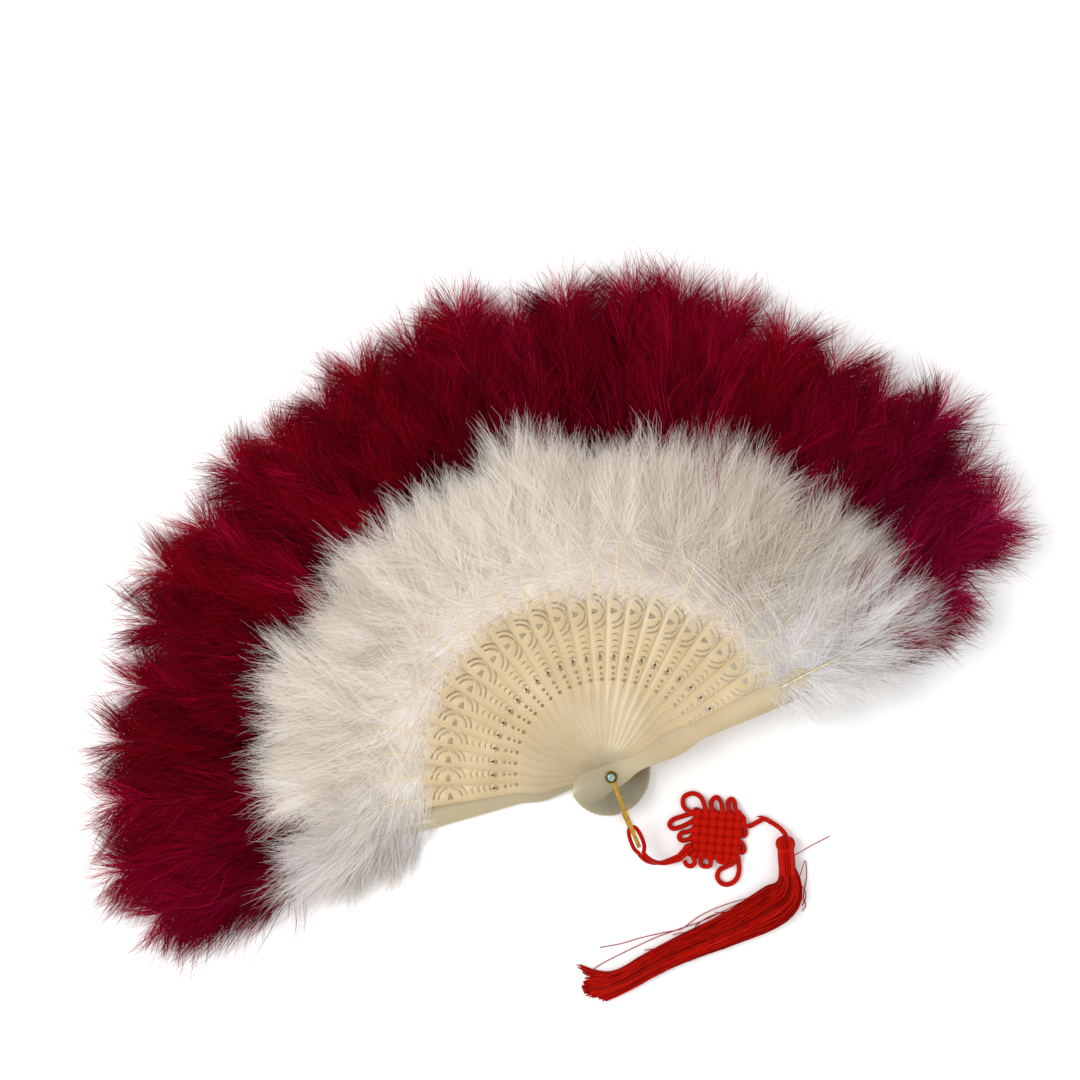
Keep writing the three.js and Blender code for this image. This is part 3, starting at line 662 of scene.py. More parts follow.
# The two cut ends of the cord: one pokes out of the knot, one lies beside the tassel's cord
CORD_ENDS = [
    [(50.0, -48.2, 3.0), (51.6, -46.9, 2.8), (53.6, -45.2, 2.1), (54.6, -43.9, 1.4)],
    [(66.2, -55.2, 2.4), (64.4, -52.4, 3.0), (62.8, -50.6, 2.6), (60.7, -49.9, 1.6)],
]
CORD_END_POINTS = 16
CORD_END_STATION_SHARES = [0, 0.5, 1]
CORD_END_WIDTH_SHARES = [0.95, 0.8, 0.12]
ROUTE_STEP = 0.5 * MM
ROUTE_STEPS = 12
HANGER_LOOP_STEPS = 8
CORD_SIDES = 12
TAIL_SIDES = 16


def routed(route, step=ROUTE_STEP):
    return spaced(catmull_rom(np.array(route) * MM, ROUTE_STEPS), step)


def tassel_cord_line():
    return routed(TASSEL_CORD_ROUTE + INSIDE_CAP)


class FAN_OT_cords(bpy.types.Operator):
    """Adds the doubled cord from the bail to the knot, and the cord from the knot into the tassel"""

    bl_idname = "fan.cords"
    bl_label = "Cords"

    def execute(self, context):
        sizes, finish = context.scene.fan_cords, material(satin_cord)
        strand = sizes.doubled / 4
        middle = routed(HANGER_ROUTE)
        level, rise = section_axes(middle)
        angle = np.linspace(0, 1, len(middle))[:, None] * HANGER_TWIST
        offset = (level * np.cos(angle) + rise * np.sin(angle) * HANGER_FLATNESS_SHARE) * strand
        right = catmull_rom(np.array(HANGER_LOOP) * MM, HANGER_LOOP_STEPS)
        left = right * [-1, 1, 1]
        lines = [
            spaced(np.vstack([right, middle + offset]), ROUTE_STEP),
            spaced(np.vstack([left, middle - offset]), ROUTE_STEP),
        ]
        hanger = tubes("hanger_cord_doubled", lines, strand, strand, CORD_SIDES, finish)
        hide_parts("hanger_cord")
        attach(hanger, "tassel")

        radius = sizes.single / 2
        tail = tubes("tassel_cord_single", [tassel_cord_line()], radius, radius, TAIL_SIDES, finish)
        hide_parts("tassel_cord")
        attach(tail, "tassel")
        stations = np.linspace(0, 1, CORD_END_POINTS)
        taper = np.interp(stations, CORD_END_STATION_SHARES, CORD_END_WIDTH_SHARES) * radius
        for index, route in enumerate(CORD_ENDS):
            end = catmull_rom(np.array(route) * MM, ROUTE_STEPS)
            end = spaced(end, length_of(end) / (CORD_END_POINTS - 1))
            piece = tubes(f"cord_end_{index}", [end], taper, taper, CORD_SIDES, finish)
            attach(piece, "tassel")
        return {"FINISHED"}


# The knot: places in strand pitches from its centre, levels in millimetres, as the solid has them

KNOT_CENTRE = (38.2 * MM, -50.9 * MM, 0)
KNOT_TURN = math.radians(-26.7)
STRANDS = 6
STRAND_PITCH = 4.2
OVERHANG = 1.0
KNOT_MIDDLE_Z = 2.35
WEAVE_RISE = 1.15
ENTRY_Z = 3.8
EAR_START_Z = 3.5
EAR_TIP_Z = 1.5
TABLE_Z = 1.3
KNOT_STEP = 0.45 * MM
STRAND_POINTS = 49
LOOP_STEPS = 8
TOP_EARS = [
    [(-3.25, 2.53), (-4.14, 3.01), (-4.27, 4.14), (-3.28, 4.73), (-2.28, 4.41), (-1.8, 3.6)],
    [(-0.85, 3.17), (-0.87, 4.0), (-0.37, 4.51), (0.19, 4.09), (0.43, 3.28)],
    [(1.18, 3.35), (1.14, 4.12), (1.46, 4.46), (1.85, 4.16), (2.0, 3.42)],
]
BOTTOM_EARS = [
    [(-1.63, -3.27), (-1.45, -3.77), (-0.98, -3.91), (-0.44, -3.6)],
    [(0.69, -3.06), (1.36, -3.06)],
]
LEFT_EARS = [
    [(-3.25, -2.52), (-3.63, -2.18), (-3.33, -1.68)],
    [(-3.29, -0.86), (-4.04, -1.03), (-4.41, -0.67), (-4.12, -0.15), (-3.38, 0.1)],
    [(-3.46, 1.06), (-4.29, 0.58), (-5.23, 0.3), (-5.69, 0.74), (-5.3, 1.37), (-4.33, 1.82), (-3.43, 2.19)],
]
RIGHT_EARS = [
    [(3.24, -1.87), (3.56, -1.57), (3.36, -0.89)],
    [(3.23, 0.13), (3.55, 0.43), (3.33, 1.12)],
]
ENTRY_PLACES = [(-3.57, -3.35), (-3.24, -3.81), (-2.73, -3.9), (-2.36, -3.55), (-2.43, -3.02)]
CORNER_PLACES = [
    (2.17, -3.19), (1.52, -3.73), (0.79, -4.23), (0.6, -5.1), (1.21, -5.78), (2.08, -5.8), (2.86, -5.19),
    (3.14, -4.2), (3.04, -3.2),
]
EXIT_PLACES = [(3.12, 2.3), (3.16, 1.8), (3.36, 1.47), (3.8, 1.42), (4.2, 1.5)]
EXIT_LEVELS = [2.4, 3.2, 3.2, 2.2, 1.3]
# Inside the weave the cord is pressed wide. The press fades over this length past the edge
PRESS_FADE = 2.2 * MM
PRESS_EDGE_SHARE = 0.6
PRESS_WIDENING_SHARE = 0.62
PRESS_FLATTENING_SHARE = 0.08


def strand_place(strand):
    return (strand - (STRANDS - 1) / 2) * STRAND_PITCH


def on_knot(places, levels):
    return [(x * STRAND_PITCH, y * STRAND_PITCH, z) for (x, y), z in zip(places, levels)]


def loop(start, places, levels, end):
    """The points of a loop between two strand ends, without those ends."""
    return [tuple(p) for p in catmull_rom([start, *on_knot(places, levels), end], LOOP_STEPS)[1:-1]]


def weave_height(strand, along, parity):
    wave = math.cos(math.pi * (along - strand_place(0)) / STRAND_PITCH)
    return KNOT_MIDDLE_Z + parity * (-1) ** strand * WEAVE_RISE * wave


def woven_layer(first_sign, place, parity, ears, start_z, tip_z):
    """One way of the weave: the cord runs to and fro, over and under the other way's strands."""
    edge = strand_place(STRANDS - 1) + OVERHANG
    line = []
    for strand in range(STRANDS):
        sign = -first_sign if strand % 2 else first_sign
        for along in np.linspace(-sign * edge, sign * edge, STRAND_POINTS):
            line.append(place(strand_place(strand), along, weave_height(strand, along, parity)))
        if strand < STRANDS - 1:
            places = ears[strand % 2][strand // 2]
            levels = [start_z, *[tip_z] * (len(places) - 2), start_z]
            height = weave_height(strand + 1, sign * edge, parity)
            line += loop(line[-1], places, levels, place(strand_place(strand + 1), sign * edge, height))
    return line


def column(across, along, z):
    return (across, along, z)


def row(across, along, z):
    return (along, across, z)


def knot_line():
    columns = woven_layer(1, column, 1, [TOP_EARS, BOTTOM_EARS], EAR_START_Z, EAR_TIP_Z)
    rows = woven_layer(-1, row, -1, [LEFT_EARS, RIGHT_EARS], TABLE_Z, TABLE_Z)
    entry_levels = [ENTRY_Z] * len(ENTRY_PLACES)
    entry = catmull_rom([*on_knot(ENTRY_PLACES, entry_levels), columns[0]], LOOP_STEPS)
    corner_levels = [EAR_START_Z, *[TABLE_Z] * (len(CORNER_PLACES) - 1)]
    corner = loop(columns[-1], CORNER_PLACES, corner_levels, rows[0])
    leave = catmull_rom([rows[-1], *on_knot(EXIT_PLACES, EXIT_LEVELS)], LOOP_STEPS)
    return spaced(np.vstack([entry[:-1], columns, corner, rows, leave[1:]]) * MM, KNOT_STEP)


class FAN_OT_knot(bpy.types.Operator):
    """Adds the woven square knot with its loops"""

    bl_idname = "fan.knot"
    bl_label = "Knot"

    def execute(self, context):
        radius = context.scene.fan_cords.single / 2
        line = knot_line()
        body = (strand_place(STRANDS - 1) + PRESS_EDGE_SHARE * OVERHANG) * MM
        outside = np.maximum(np.abs(line[:, :2]).max(axis=1) - body, 0)
        pressed = np.clip(1 - outside / PRESS_FADE, 0, 1)
        wide = radius * (1 + PRESS_WIDENING_SHARE * pressed)
        high = radius * (1 - PRESS_FLATTENING_SHARE * pressed)
        line[:, 2] = np.maximum(line[:, 2], high)
        turn = np.array(Matrix.Rotation(KNOT_TURN, 3, "Z"))
        line = line @ turn.T + np.array(KNOT_CENTRE)
        knot = tubes("knot_woven", [line], wide, high, CORD_SIDES, material(satin_cord))
        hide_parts("knot")
        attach(knot, "tassel")
        return {"FINISHED"}


# The tassel's cap: the folded threads laid side by side round a core, and bound

TASSEL_SEED = 7
CAP_TOP = np.array([69.9, -63.9, 4.9]) * MM
CAP_TURN = math.radians(252.5)
CAP_AXIS = np.array([math.cos(CAP_TURN), math.sin(CAP_TURN), 0])
CAP_SIDE = np.array([-CAP_AXIS[1], CAP_AXIS[0], 0])
CAP_LENGTH = 19 * MM
CAP_STATIONS = np.array([0.0, 0.6, 1.6, 3.2, 5.0, 6.0, 6.9, 9.0, 12.0, 15.5, 19.0]) * MM
CAP_RADII = np.array([1.7, 3.3, 4.3, 4.75, 4.5, 3.75, 3.85, 4.1, 4.15, 4.1, 4.0]) * MM
CAP_THREADS = 34
CAP_THREAD_RADIUS = 0.46 * MM
CAP_THREAD_DEPTH = 0.28 * MM
CAP_THREAD_STEP = 0.8 * MM
CAP_SWING = 0.02
CAP_STEPS = 4
CAP_THREAD_SIDES = 6
CAP_TONES = (0.2, 1)
CORE_DEPTH = 0.3 * MM
CORE_SIDES = 24
CORE_TONE = 0.1
BINDING_TURNS = 4
BINDING_POINTS = 140
BINDING_START = 5.7 * MM
BINDING_LENGTH = 1.5 * MM
BINDING_RADIUS = 4.0 * MM
BINDING_THREAD_RADIUS = 0.26 * MM
BINDING_SIDES = 6
BINDING_TONE = 0.75


def in_cap(along, radii, angles):
    """Places in the cap: how far down its axis, how far from it, and how far round it."""
    across, height = radii * np.cos(angles), radii * np.sin(angles)
    return CAP_TOP + CAP_AXIS * along[:, None] + CAP_SIDE * across[:, None] + UP * height[:, None]


def bound_cap(rng):
    lines, tints = [], []
    for i in range(CAP_THREADS):
        swing = i / CAP_THREADS * FULL_TURN + np.cumsum(rng.normal(0, CAP_SWING, len(CAP_STATIONS)))
        line = in_cap(CAP_STATIONS, CAP_RADII - CAP_THREAD_DEPTH, swing)
        lines.append(spaced(catmull_rom(line, CAP_STEPS), CAP_THREAD_STEP))
        tints.append(rng.uniform(*CAP_TONES))
    finish, half = material(rayon_thread), CAP_THREAD_RADIUS
    threads = tubes("cap_threads", lines, half, half, CAP_THREAD_SIDES, finish, tints)
    core_line = CAP_TOP + CAP_AXIS * CAP_STATIONS[1:][:, None]
    core_radii = CAP_RADII[1:] - CORE_DEPTH
    core = tubes("cap_core", [core_line], core_radii, core_radii, CORE_SIDES, finish, [CORE_TONE])
    # The coil winds round the level axis, so its sections are turned here and not by section_axes
    turns = np.linspace(0, BINDING_TURNS * FULL_TURN, BINDING_POINTS)
    along = BINDING_START + turns / (BINDING_TURNS * FULL_TURN) * BINDING_LENGTH
    coil = in_cap(along, BINDING_RADIUS, turns)
    outward = CAP_SIDE * np.cos(turns)[:, None] + UP * np.sin(turns)[:, None]
    angles = np.arange(BINDING_SIDES) / BINDING_SIDES * FULL_TURN
    section = outward[:, None] * np.cos(angles)[None, :, None] + CAP_AXIS * np.sin(angles)[None, :, None]
    ring = coil[:, None] + BINDING_THREAD_RADIUS * section
    i, j, k = between_rings(BINDING_POINTS, BINDING_SIDES)
    quads = np.column_stack([i, i + 1, i + 1, i]) * BINDING_SIDES + np.column_stack([j, j, k, k])
    binding = mesh_object("cap_binding", ring.reshape(-1, 3), quads, finish)
    binding.data.uv_layers.new(name="lay")
    point_attribute(binding.data, "tint", np.full(BINDING_POINTS * BINDING_SIDES, BINDING_TONE))
    return joined("tassel_cap_bound", [core, threads, binding])


# The tassel's skirt, its route in millimetres, as the solid has it

SKIRT_START = np.array([64.48, -83.06, 0]) * MM
SKIRT_ROUTE = [
    (-0.1, -0.8, 0), (-1.7, -4.6, 0), (-5.1, -8.1, 0), (-10.7, -10.7, 0), (-19.5, -12.5, 0),
    (-32.1, -13.8, 0), (-47.3, -14.6, 0), (-64.6, -14.9, 0), (-81.7, -16.4, 0), (-96.9, -18.5, 0),
    (-113.0, -18.3, 0),
]
NECK_OVERLAP = 3 * MM
SKIRT_TAIL = 8 * MM
SKIRT_WIDTH = 21 * MM
SKIRT_HEIGHT = 9.2 * MM
SKIRT_WIDTH_SHARES = [0.41, 0.5, 0.66, 0.88, 0.98, 0.96, 0.84, 0.72, 0.64, 0.58, 0.56, 0.7]
SKIRT_HEIGHT_SHARES = [0.88, 0.9, 0.98, 1, 0.92, 0.8, 0.72, 0.66, 0.6, 0.54, 0.48, 0.34]
END_STEP = 1.5 * MM
GOLDEN_ANGLE = math.radians(137.508)
SKIRT_STEPS = 8
THREAD_SIDES = 4
THREAD_WANDER = 0.016
THREAD_SWIRL = 0.1
THREAD_LIFT = 0.02
SWIRL_RATES = (3, 9)
SKIRT_BRIM = 1.03
# Its threads' tones: how fast they change across and up it, and how much
CLUMP_RATE = 9
CLUMP_BEND = 2
CLUMP_RISE_RATE = 5
DARKEST_TONE = 0.15
CLUMP_TONE = 0.5
THREAD_TONE_SPREAD = 0.22
# The tufts that the skirt ends in, from its inner side over: how far each bends out, and its reach
TUFT_BENDS = np.array([14, 3.6, 2.2, 3.2, 3.4, 1.4, 0.6]) * MM
TUFT_REACHES = np.array([3.0, 1.6, 3.6, 5.2, 3.0, -0.4, -2.6]) * MM
TUFT_EDGES = np.array([-1, -0.7, -0.42, -0.14, 0.16, 0.46, 0.74, 1])
TUFT_START_SHARE = 0.84
TUFT_GATHERING_SHARE = 0.45
TUFT_FLATTENING_SHARE = 0.55
TUFT_SPREAD = 0.7 * MM
TUFT_STRAY = 0.05
CUT_SPREAD = 1.9 * MM
LOOSE_RADIUS = 0.24 * MM
LOOSE_STEP = 1.2 * MM
LOOSE_SIDES = 5
LOOSE_TONE = 0.35
# Threads that left the skirt, and the frayed end of the cord, as they lie on the table
LOOSE_THREADS = [
    [(67.5, -73.5, 4.0), (70.2, -74.7, 3.4), (81.5, -73.7, 1.5), (91.5, -73.1, 0.4)],
    [
        (67.0, -88.0, 4.4), (67.8, -86.8, 4.4), (71.3, -83.8, 3.2), (75.3, -79.6, 1.4), (73.0, -87.9, 0.5),
        (67.9, -96.7, 0.5), (67.4, -101.1, 0.4), (64.6, -103.3, 0.4),
    ],
    [(68.0, -89.0, 3.8), (69.6, -93.5, 1.6), (68.4, -98.0, 0.7), (65.4, -100.8, 0.5)],
    [
        (44.0, -86.2, 4.4), (33.2, -85.4, 2.6), (24.8, -85.4, 1.4), (16.2, -86.1, 0.8), (9.7, -87.6, 0.5),
        (4.2, -88.9, 0.5), (-6.0, -87.2, 0.4), (-16.9, -85.5, 0.4), (-26.3, -84.7, 0.4), (-37.5, -82.5, 0.4),
    ],
    [
        (41.6, -86.2, 4.2), (26.8, -87.9, 2.4), (14.4, -88.9, 1.0), (2.5, -88.6, 0.5), (-9.8, -88.1, 0.9),
        (-28.3, -89.4, 0.4), (-43.2, -91.1, 0.4), (-46.5, -94.5, 0.4),
    ],
    [(30.0, -88.5, 3.6), (20.0, -88.0, 1.8), (11.0, -90.4, 0.8), (20.5, -91.8, 1.2)],
    [(31.0, -90.5, 4.2), (27.0, -88.6, 3.2), (23.0, -86.9, 2.4)],
    [(-6.0, -94.8, 2.6), (-12.0, -92.9, 1.8), (-17.1, -91.9, 1.2)],
    [(9.0, -92.0, 3.0), (3.0, -90.2, 2.0), (-1.0, -90.0, 1.2)],
]


def skirt_course():
    """The skirt's middle line, and at its points the share of the way, half width and half height."""
    neck_end = (CAP_TOP + CAP_AXIS * (CAP_LENGTH - NECK_OVERLAP)) * [1, 1, 0]
    route = np.vstack([neck_end, np.array(SKIRT_ROUTE) * MM + SKIRT_START])
    fine = catmull_rom(route, SKIRT_STEPS)
    last = fine[-1] - fine[-2]
    tail = fine[-1] + last / np.linalg.norm(last) * SKIRT_TAIL
    fine = spaced(np.vstack([fine, tail]), END_STEP)
    places = np.linspace(0, 1, len(fine))
    stations = distances(route)
    stations /= stations[-1] + SKIRT_TAIL
    wide = np.interp(places, stations, np.array(SKIRT_WIDTH_SHARES) * SKIRT_WIDTH / 2)
    high = np.interp(places, stations, np.array(SKIRT_HEIGHT_SHARES) * SKIRT_HEIGHT / 2)
    return fine, places, wide, high


def skirt_threads(rng, half, count):
    """The lines and tones of the skirt's threads, which keep their places side by side round the bend."""
    fine, places, wide, high = skirt_course()
    level = section_axes(fine)[0]
    parting = np.clip((places - TUFT_START_SHARE) / (1 - TUFT_START_SHARE), 0, 1)
    lines, tints = [], []
    for i in range(count):
        share = math.sqrt((i + 0.5) / count)
        u, v = share * math.cos(i * GOLDEN_ANGLE), share * math.sin(i * GOLDEN_ANGLE)
        swirl = np.sin(places * rng.uniform(*SWIRL_RATES) + rng.uniform(0, FULL_TURN))
        wander = np.cumsum(rng.normal(0, THREAD_WANDER, len(fine))) + THREAD_SWIRL * swirl * places
        lift = np.cumsum(rng.normal(0, THREAD_LIFT, len(fine)))
        across = np.clip(u + wander, -SKIRT_BRIM, SKIRT_BRIM) * (wide - half)
        height = (high - half) * (1 + np.clip(v + lift, -1, 1))
        tuft = np.searchsorted(TUFT_EDGES, u + rng.normal(0, TUFT_STRAY)) - 1
        tuft = int(np.clip(tuft, 0, len(TUFT_BENDS) - 1))
        across += parting**2 * (rng.normal(0, TUFT_SPREAD) - TUFT_BENDS[tuft])
        centre = TUFT_EDGES[tuft : tuft + 2].mean()
        across += parting * (centre - u) * wide * TUFT_GATHERING_SHARE
        line = fine + level * across[:, None]
        line[:, 2] = half + height * (1 - TUFT_FLATTENING_SHARE * parting)
        missing = SKIRT_TAIL - TUFT_REACHES[tuft] + rng.exponential(CUT_SPREAD)
        line = line[: len(line) - max(int(round(missing / END_STEP)), 0)]
        lines.append(np.vstack([line[:-1:2], line[-1:]]))
        clump = (1 + math.sin(CLUMP_RATE * u + CLUMP_BEND * math.sin(CLUMP_RISE_RATE * v))) / 2
        tone = DARKEST_TONE + CLUMP_TONE * clump + rng.normal(0, THREAD_TONE_SPREAD)
        tints.append(float(np.clip(tone, 0, 1)))
    return lines, tints


class FAN_OT_tassel(bpy.types.Operator):
    """Adds the tassel's cap with its binding, its skirt of threads and its loose threads"""

    bl_idname = "fan.tassel"
    bl_label = "Tassel"

    def execute(self, context):
        pieces = bpy.data.objects
        if "knot_woven" not in pieces or "tassel_cord_single" not in pieces:
            raise RuntimeError("The tassel hangs on the cords and the knot: add them first")
        sizes = context.scene.fan_cords
        rng = np.random.default_rng(TASSEL_SEED)
        cap = bound_cap(rng)
        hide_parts("tassel_cap")
        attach(cap, "tassel")

        half, finish = sizes.thread / 2, material(rayon_thread)
        lines, tints = skirt_threads(rng, half, sizes.threads)
        threads = tubes("skirt_threads", lines, half, half, THREAD_SIDES, finish, tints)
        lines = [routed(route, LOOSE_STEP) for route in LOOSE_THREADS]
        thin, tones = LOOSE_RADIUS, [LOOSE_TONE] * len(lines)
        wisps = tubes("loose_threads", lines, thin, thin, LOOSE_SIDES, finish, tones)
        skirt = joined("tassel_skirt_threads", [threads, wisps])
        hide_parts("tassel_skirt")
        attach(skirt, "tassel")

        return {"FINISHED"}


# The blades, in millimetres, as the solids have them

HEAD_REACH = 21
HEAD_WIDTH = 15.5
NECK_AT = 16
NECK_WIDTH = 7.8
BULGE_AT = 35
BULGE_WIDTH = 12.4
WAIST_AT = 47.5
WAIST_WIDTH = 8.6
PANEL_NARROW = 4.6
PANEL_WIDE = 9.8
PANEL_BEVEL = 2.4
PANEL_END = BLADE_REACH / MM
BEVEL_ALONG_SHARE = 0.35
BEVEL_ACROSS_SHARE = 0.25
TIP_WIDTH = 0.001
EDGE_STEPS = 7
BLADE_SHARP_TURN = math.radians(50)
HEAD_SHARES = [(-0.9, 0.58), (-0.71, 0.9), (-0.48, 1), (-0.2, 0.86)]
SHOULDER_SHARES = (0.25, 0.77)
SLOT_HALF = 1.05
SLOT_FLOOR = 93.7
HOLE_RADIUS = 1.6
# Painted shade on the ivory: full at the heads and fading out by this far along, and a fixed share on each
# guard
EDGE_ROUNDING = 0.26 * MM
PAINTED_SHADE_END = 16 * MM
PAINTED_SHADE_EASE = 18 * MM
GUARD_PAINTED_SHADE = {0: 1.0, LAST_BLADE: 0.45}
# The pierced pattern. Places along are in steps from the waist to the slot, sizes in panel widths
PATTERN_STEP = (SLOT_FLOOR - WAIST_AT) / 4.714
DOT_SIDES = 16
DOT_SHARES = [(-0.031, 0.092), (0.251, 0.071), (0.552, 0.092)]
STAR_AT_SHARE = 1.004
STAR_SHARE = 0.194
STAR_WAIST_SHARE = 0.082
STAR_POINTS = 5
CRESCENT_SHARES = [1.381, 1.682, 1.983, 2.303]
CRESCENT_OFFSET_SHARE = 0.051
CRESCENT_HALF_SHARE = 0.184
CRESCENT_RISE_SHARE = 0.133
CRESCENT_BAND_SHARE = 0.077
CRESCENT_POINTS = 11
WHEEL_AT_SHARE = 3.42
WHEEL_OFFSET_SHARE = -0.224
WHEEL_RIM_SHARES = (0.622, 0.878)
WHEEL_BAND_SHARE = 0.046
WHEEL_GAP = 0.066
WHEEL_END_ANGLE = math.radians(82)
RIM_POINTS = 14
PETAL_HALF_SHARE = 0.153
PETAL_REACH_SHARE = 0.347
PETAL_POWER = 0.8
PETAL_POINTS = 9


def circle(x, y, radius, sides=24, first=0.0):
    """A hole's outline, which runs clockwise."""
    angles = first - np.arange(sides) / sides * FULL_TURN
    return [(x + radius * math.cos(a), y + radius * math.sin(a)) for a in angles]


def edge_points(panel_half):
    """One edge of a blade from its head to its end, as distance along and half width."""
    stations = [(a * HEAD_REACH, w * HEAD_WIDTH / 2) for a, w in HEAD_SHARES]
    shoulder_along, shoulder_out = SHOULDER_SHARES
    stations.append((NECK_AT * shoulder_along, HEAD_WIDTH / 2 * shoulder_out))
    stations += [(NECK_AT, NECK_WIDTH / 2), (BULGE_AT, BULGE_WIDTH / 2), (WAIST_AT, WAIST_WIDTH / 2)]
    knots = np.array([(-HEAD_REACH, TIP_WIDTH), *stations])
    smooth = catmull_rom(np.column_stack([knots, np.zeros(len(knots))]), EDGE_STEPS)[:, :2]
    tail = [
        (PANEL_END - PANEL_BEVEL, panel_half),
        (PANEL_END - PANEL_BEVEL * BEVEL_ALONG_SHARE, panel_half - PANEL_BEVEL * BEVEL_ACROSS_SHARE),
        (PANEL_END, panel_half - PANEL_BEVEL),
    ]
    return [(float(a), float(h)) for a, h in smooth] + tail


def pattern_place(share):
    return WAIST_AT + share * PATTERN_STEP


def star():
    place, half_step = pattern_place(STAR_AT_SHARE), math.pi / STAR_POINTS
    tips = circle(0, place, STAR_SHARE * PANEL_WIDE, STAR_POINTS, math.pi / 2)
    waists = circle(0, place, STAR_WAIST_SHARE * PANEL_WIDE, STAR_POINTS, math.pi / 2 - half_step)
    return [point for pair in zip(tips, waists) for point in pair]


def crescent(share):
    x, y = CRESCENT_OFFSET_SHARE * PANEL_WIDE, pattern_place(share)
    half, rise = CRESCENT_HALF_SHARE * PANEL_WIDE, CRESCENT_RISE_SHARE * PANEL_WIDE
    band = CRESCENT_BAND_SHARE * PANEL_WIDE
    spans = np.linspace(-1, 1, CRESCENT_POINTS)
    top = [(x + s * half, y - rise * s * s) for s in spans]
    low = [(x + s * half, y - band - (rise - band) * s * s) for s in spans[1:-1]]
    return top + low[::-1]


def half_wheel():
    """Two rims, each in two arcs, and the petal at the hub."""
    x, y = WHEEL_OFFSET_SHARE * PANEL_WIDE, pattern_place(WHEEL_AT_SHARE)
    holes, half = [], WHEEL_BAND_SHARE * PANEL_WIDE
    for share in WHEEL_RIM_SHARES:
        start = WHEEL_GAP / share
        for a, b in ((start, WHEEL_END_ANGLE), (-WHEEL_END_ANGLE, -start)):
            sides = []
            for radius in (share * PANEL_WIDE - half, share * PANEL_WIDE + half):
                angles = np.linspace(a, b, RIM_POINTS)
                sides.append([(x + radius * math.cos(t), y + radius * math.sin(t)) for t in angles])
            holes.append(sides[0] + sides[1][::-1])
    half, reach = PETAL_HALF_SHARE * PANEL_WIDE, PETAL_REACH_SHARE * PANEL_WIDE
    spans = np.linspace(-1, 1, PETAL_POINTS)
    petal = [(float(x + reach * (1 - s * s) ** PETAL_POWER), float(y - s * half)) for s in spans]
    return [*holes, petal]


def blade_loops(pierced):
    """The blade's outline, and the outlines of its holes, as points across and along."""
    right = [(h, a) for a, h in edge_points(PANEL_WIDE)][1:]
    left = [(-h, a) for a, h in edge_points(PANEL_NARROW)][1:]
    slot = [(SLOT_HALF, PANEL_END), (SLOT_HALF, SLOT_FLOOR)]
    slot += [(-SLOT_HALF, SLOT_FLOOR), (-SLOT_HALF, PANEL_END)]
    loops = [[(0, -HEAD_REACH), *right, *slot, *left[::-1]], circle(0, 0, HOLE_RADIUS)]
    if pierced:
        for share, radius in DOT_SHARES:
            loops.append(circle(0, pattern_place(share), radius * PANEL_WIDE, DOT_SIDES))
        loops.append(star())
        loops += [crescent(share) for share in CRESCENT_SHARES]
        loops += half_wheel()
    return loops


def blade_mesh(name, thickness, pierced):
    """A blade cut from a filled flat curve with rounded edges, pointing along +Y from the rivet."""
    curve = bpy.data.curves.new(name, "CURVE")
    curve.dimensions = "2D"
    curve.fill_mode = "BOTH"
    curve.extrude = thickness / 2 - EDGE_ROUNDING
    curve.bevel_depth = EDGE_ROUNDING
    curve.bevel_resolution = 1
    curve.offset = -EDGE_ROUNDING
    for outline in blade_loops(pierced):
        spline = curve.splines.new("POLY")
        spline.points.add(len(outline) - 1)
        for point, (x, y) in zip(spline.points, outline):
            point.co = (x * MM, y * MM, 0, 1)
        spline.use_cyclic_u = True
    select_only(linked(name, curve))
    bpy.ops.object.convert(target="MESH")
    made = bpy.context.object
    bpy.ops.object.mode_set(mode="EDIT")
    even_normals()
    bpy.ops.object.shade_smooth_by_angle(angle=BLADE_SHARP_TURN)
    mesh = made.data
    mesh.materials.clear()
    mesh.materials.append(material(ivory_plastic))
    while mesh.uv_layers:
        mesh.uv_layers.remove(mesh.uv_layers[0])
    corners = np.zeros(len(mesh.loops), np.int32)
    mesh.loops.foreach_get("vertex_index", corners)
    mesh.uv_layers.new(name="lay").data.foreach_set("uv", points_of(mesh)[corners, :2].ravel())
    bpy.data.objects.remove(made)
    return mesh


def painted_shade_shares(mesh, index):
    """How much painted shade greys each point of a blade that still points along +Y."""
    head = np.clip((PAINTED_SHADE_END - points_of(mesh)[:, 1]) / PAINTED_SHADE_EASE, 0, 1)
    return np.maximum(head, GUARD_PAINTED_SHADE.get(index, 0))


class FAN_OT_blades(bpy.types.Operator):
    """Adds the two plain guards and the pierced sticks between them"""

    bl_idname = "fan.blades"
    bl_label = "Guards and sticks"

    def execute(self, context):
        guard = blade_mesh("guard", GUARD_THICKNESS, False)
        stick = blade_mesh("stick", STICK_THICKNESS, True)
        for index in range(LAST_BLADE + 1):
            is_guard = index in (0, LAST_BLADE)
            mesh = (guard if is_guard else stick).copy()
            thickness = GUARD_THICKNESS if is_guard else STICK_THICKNESS
            # The share of painted shade at each point
            point_attribute(mesh, "painted_shade", painted_shade_shares(mesh, index))
            lift = Matrix.Translation((0, 0, blade_z(index) + thickness / 2))
            mesh.transform(lift @ Matrix.Rotation(blade_angle(index) - math.pi / 2, 4, "Z"))
            made = linked(f"{blade_name(index)}_moulded", mesh)
            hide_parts(blade_name(index))
            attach(made, blade_name(index))
        return {"FINISHED"}


# The rivet, the washer and the bail. Profiles are in millimetres, from the axis and up

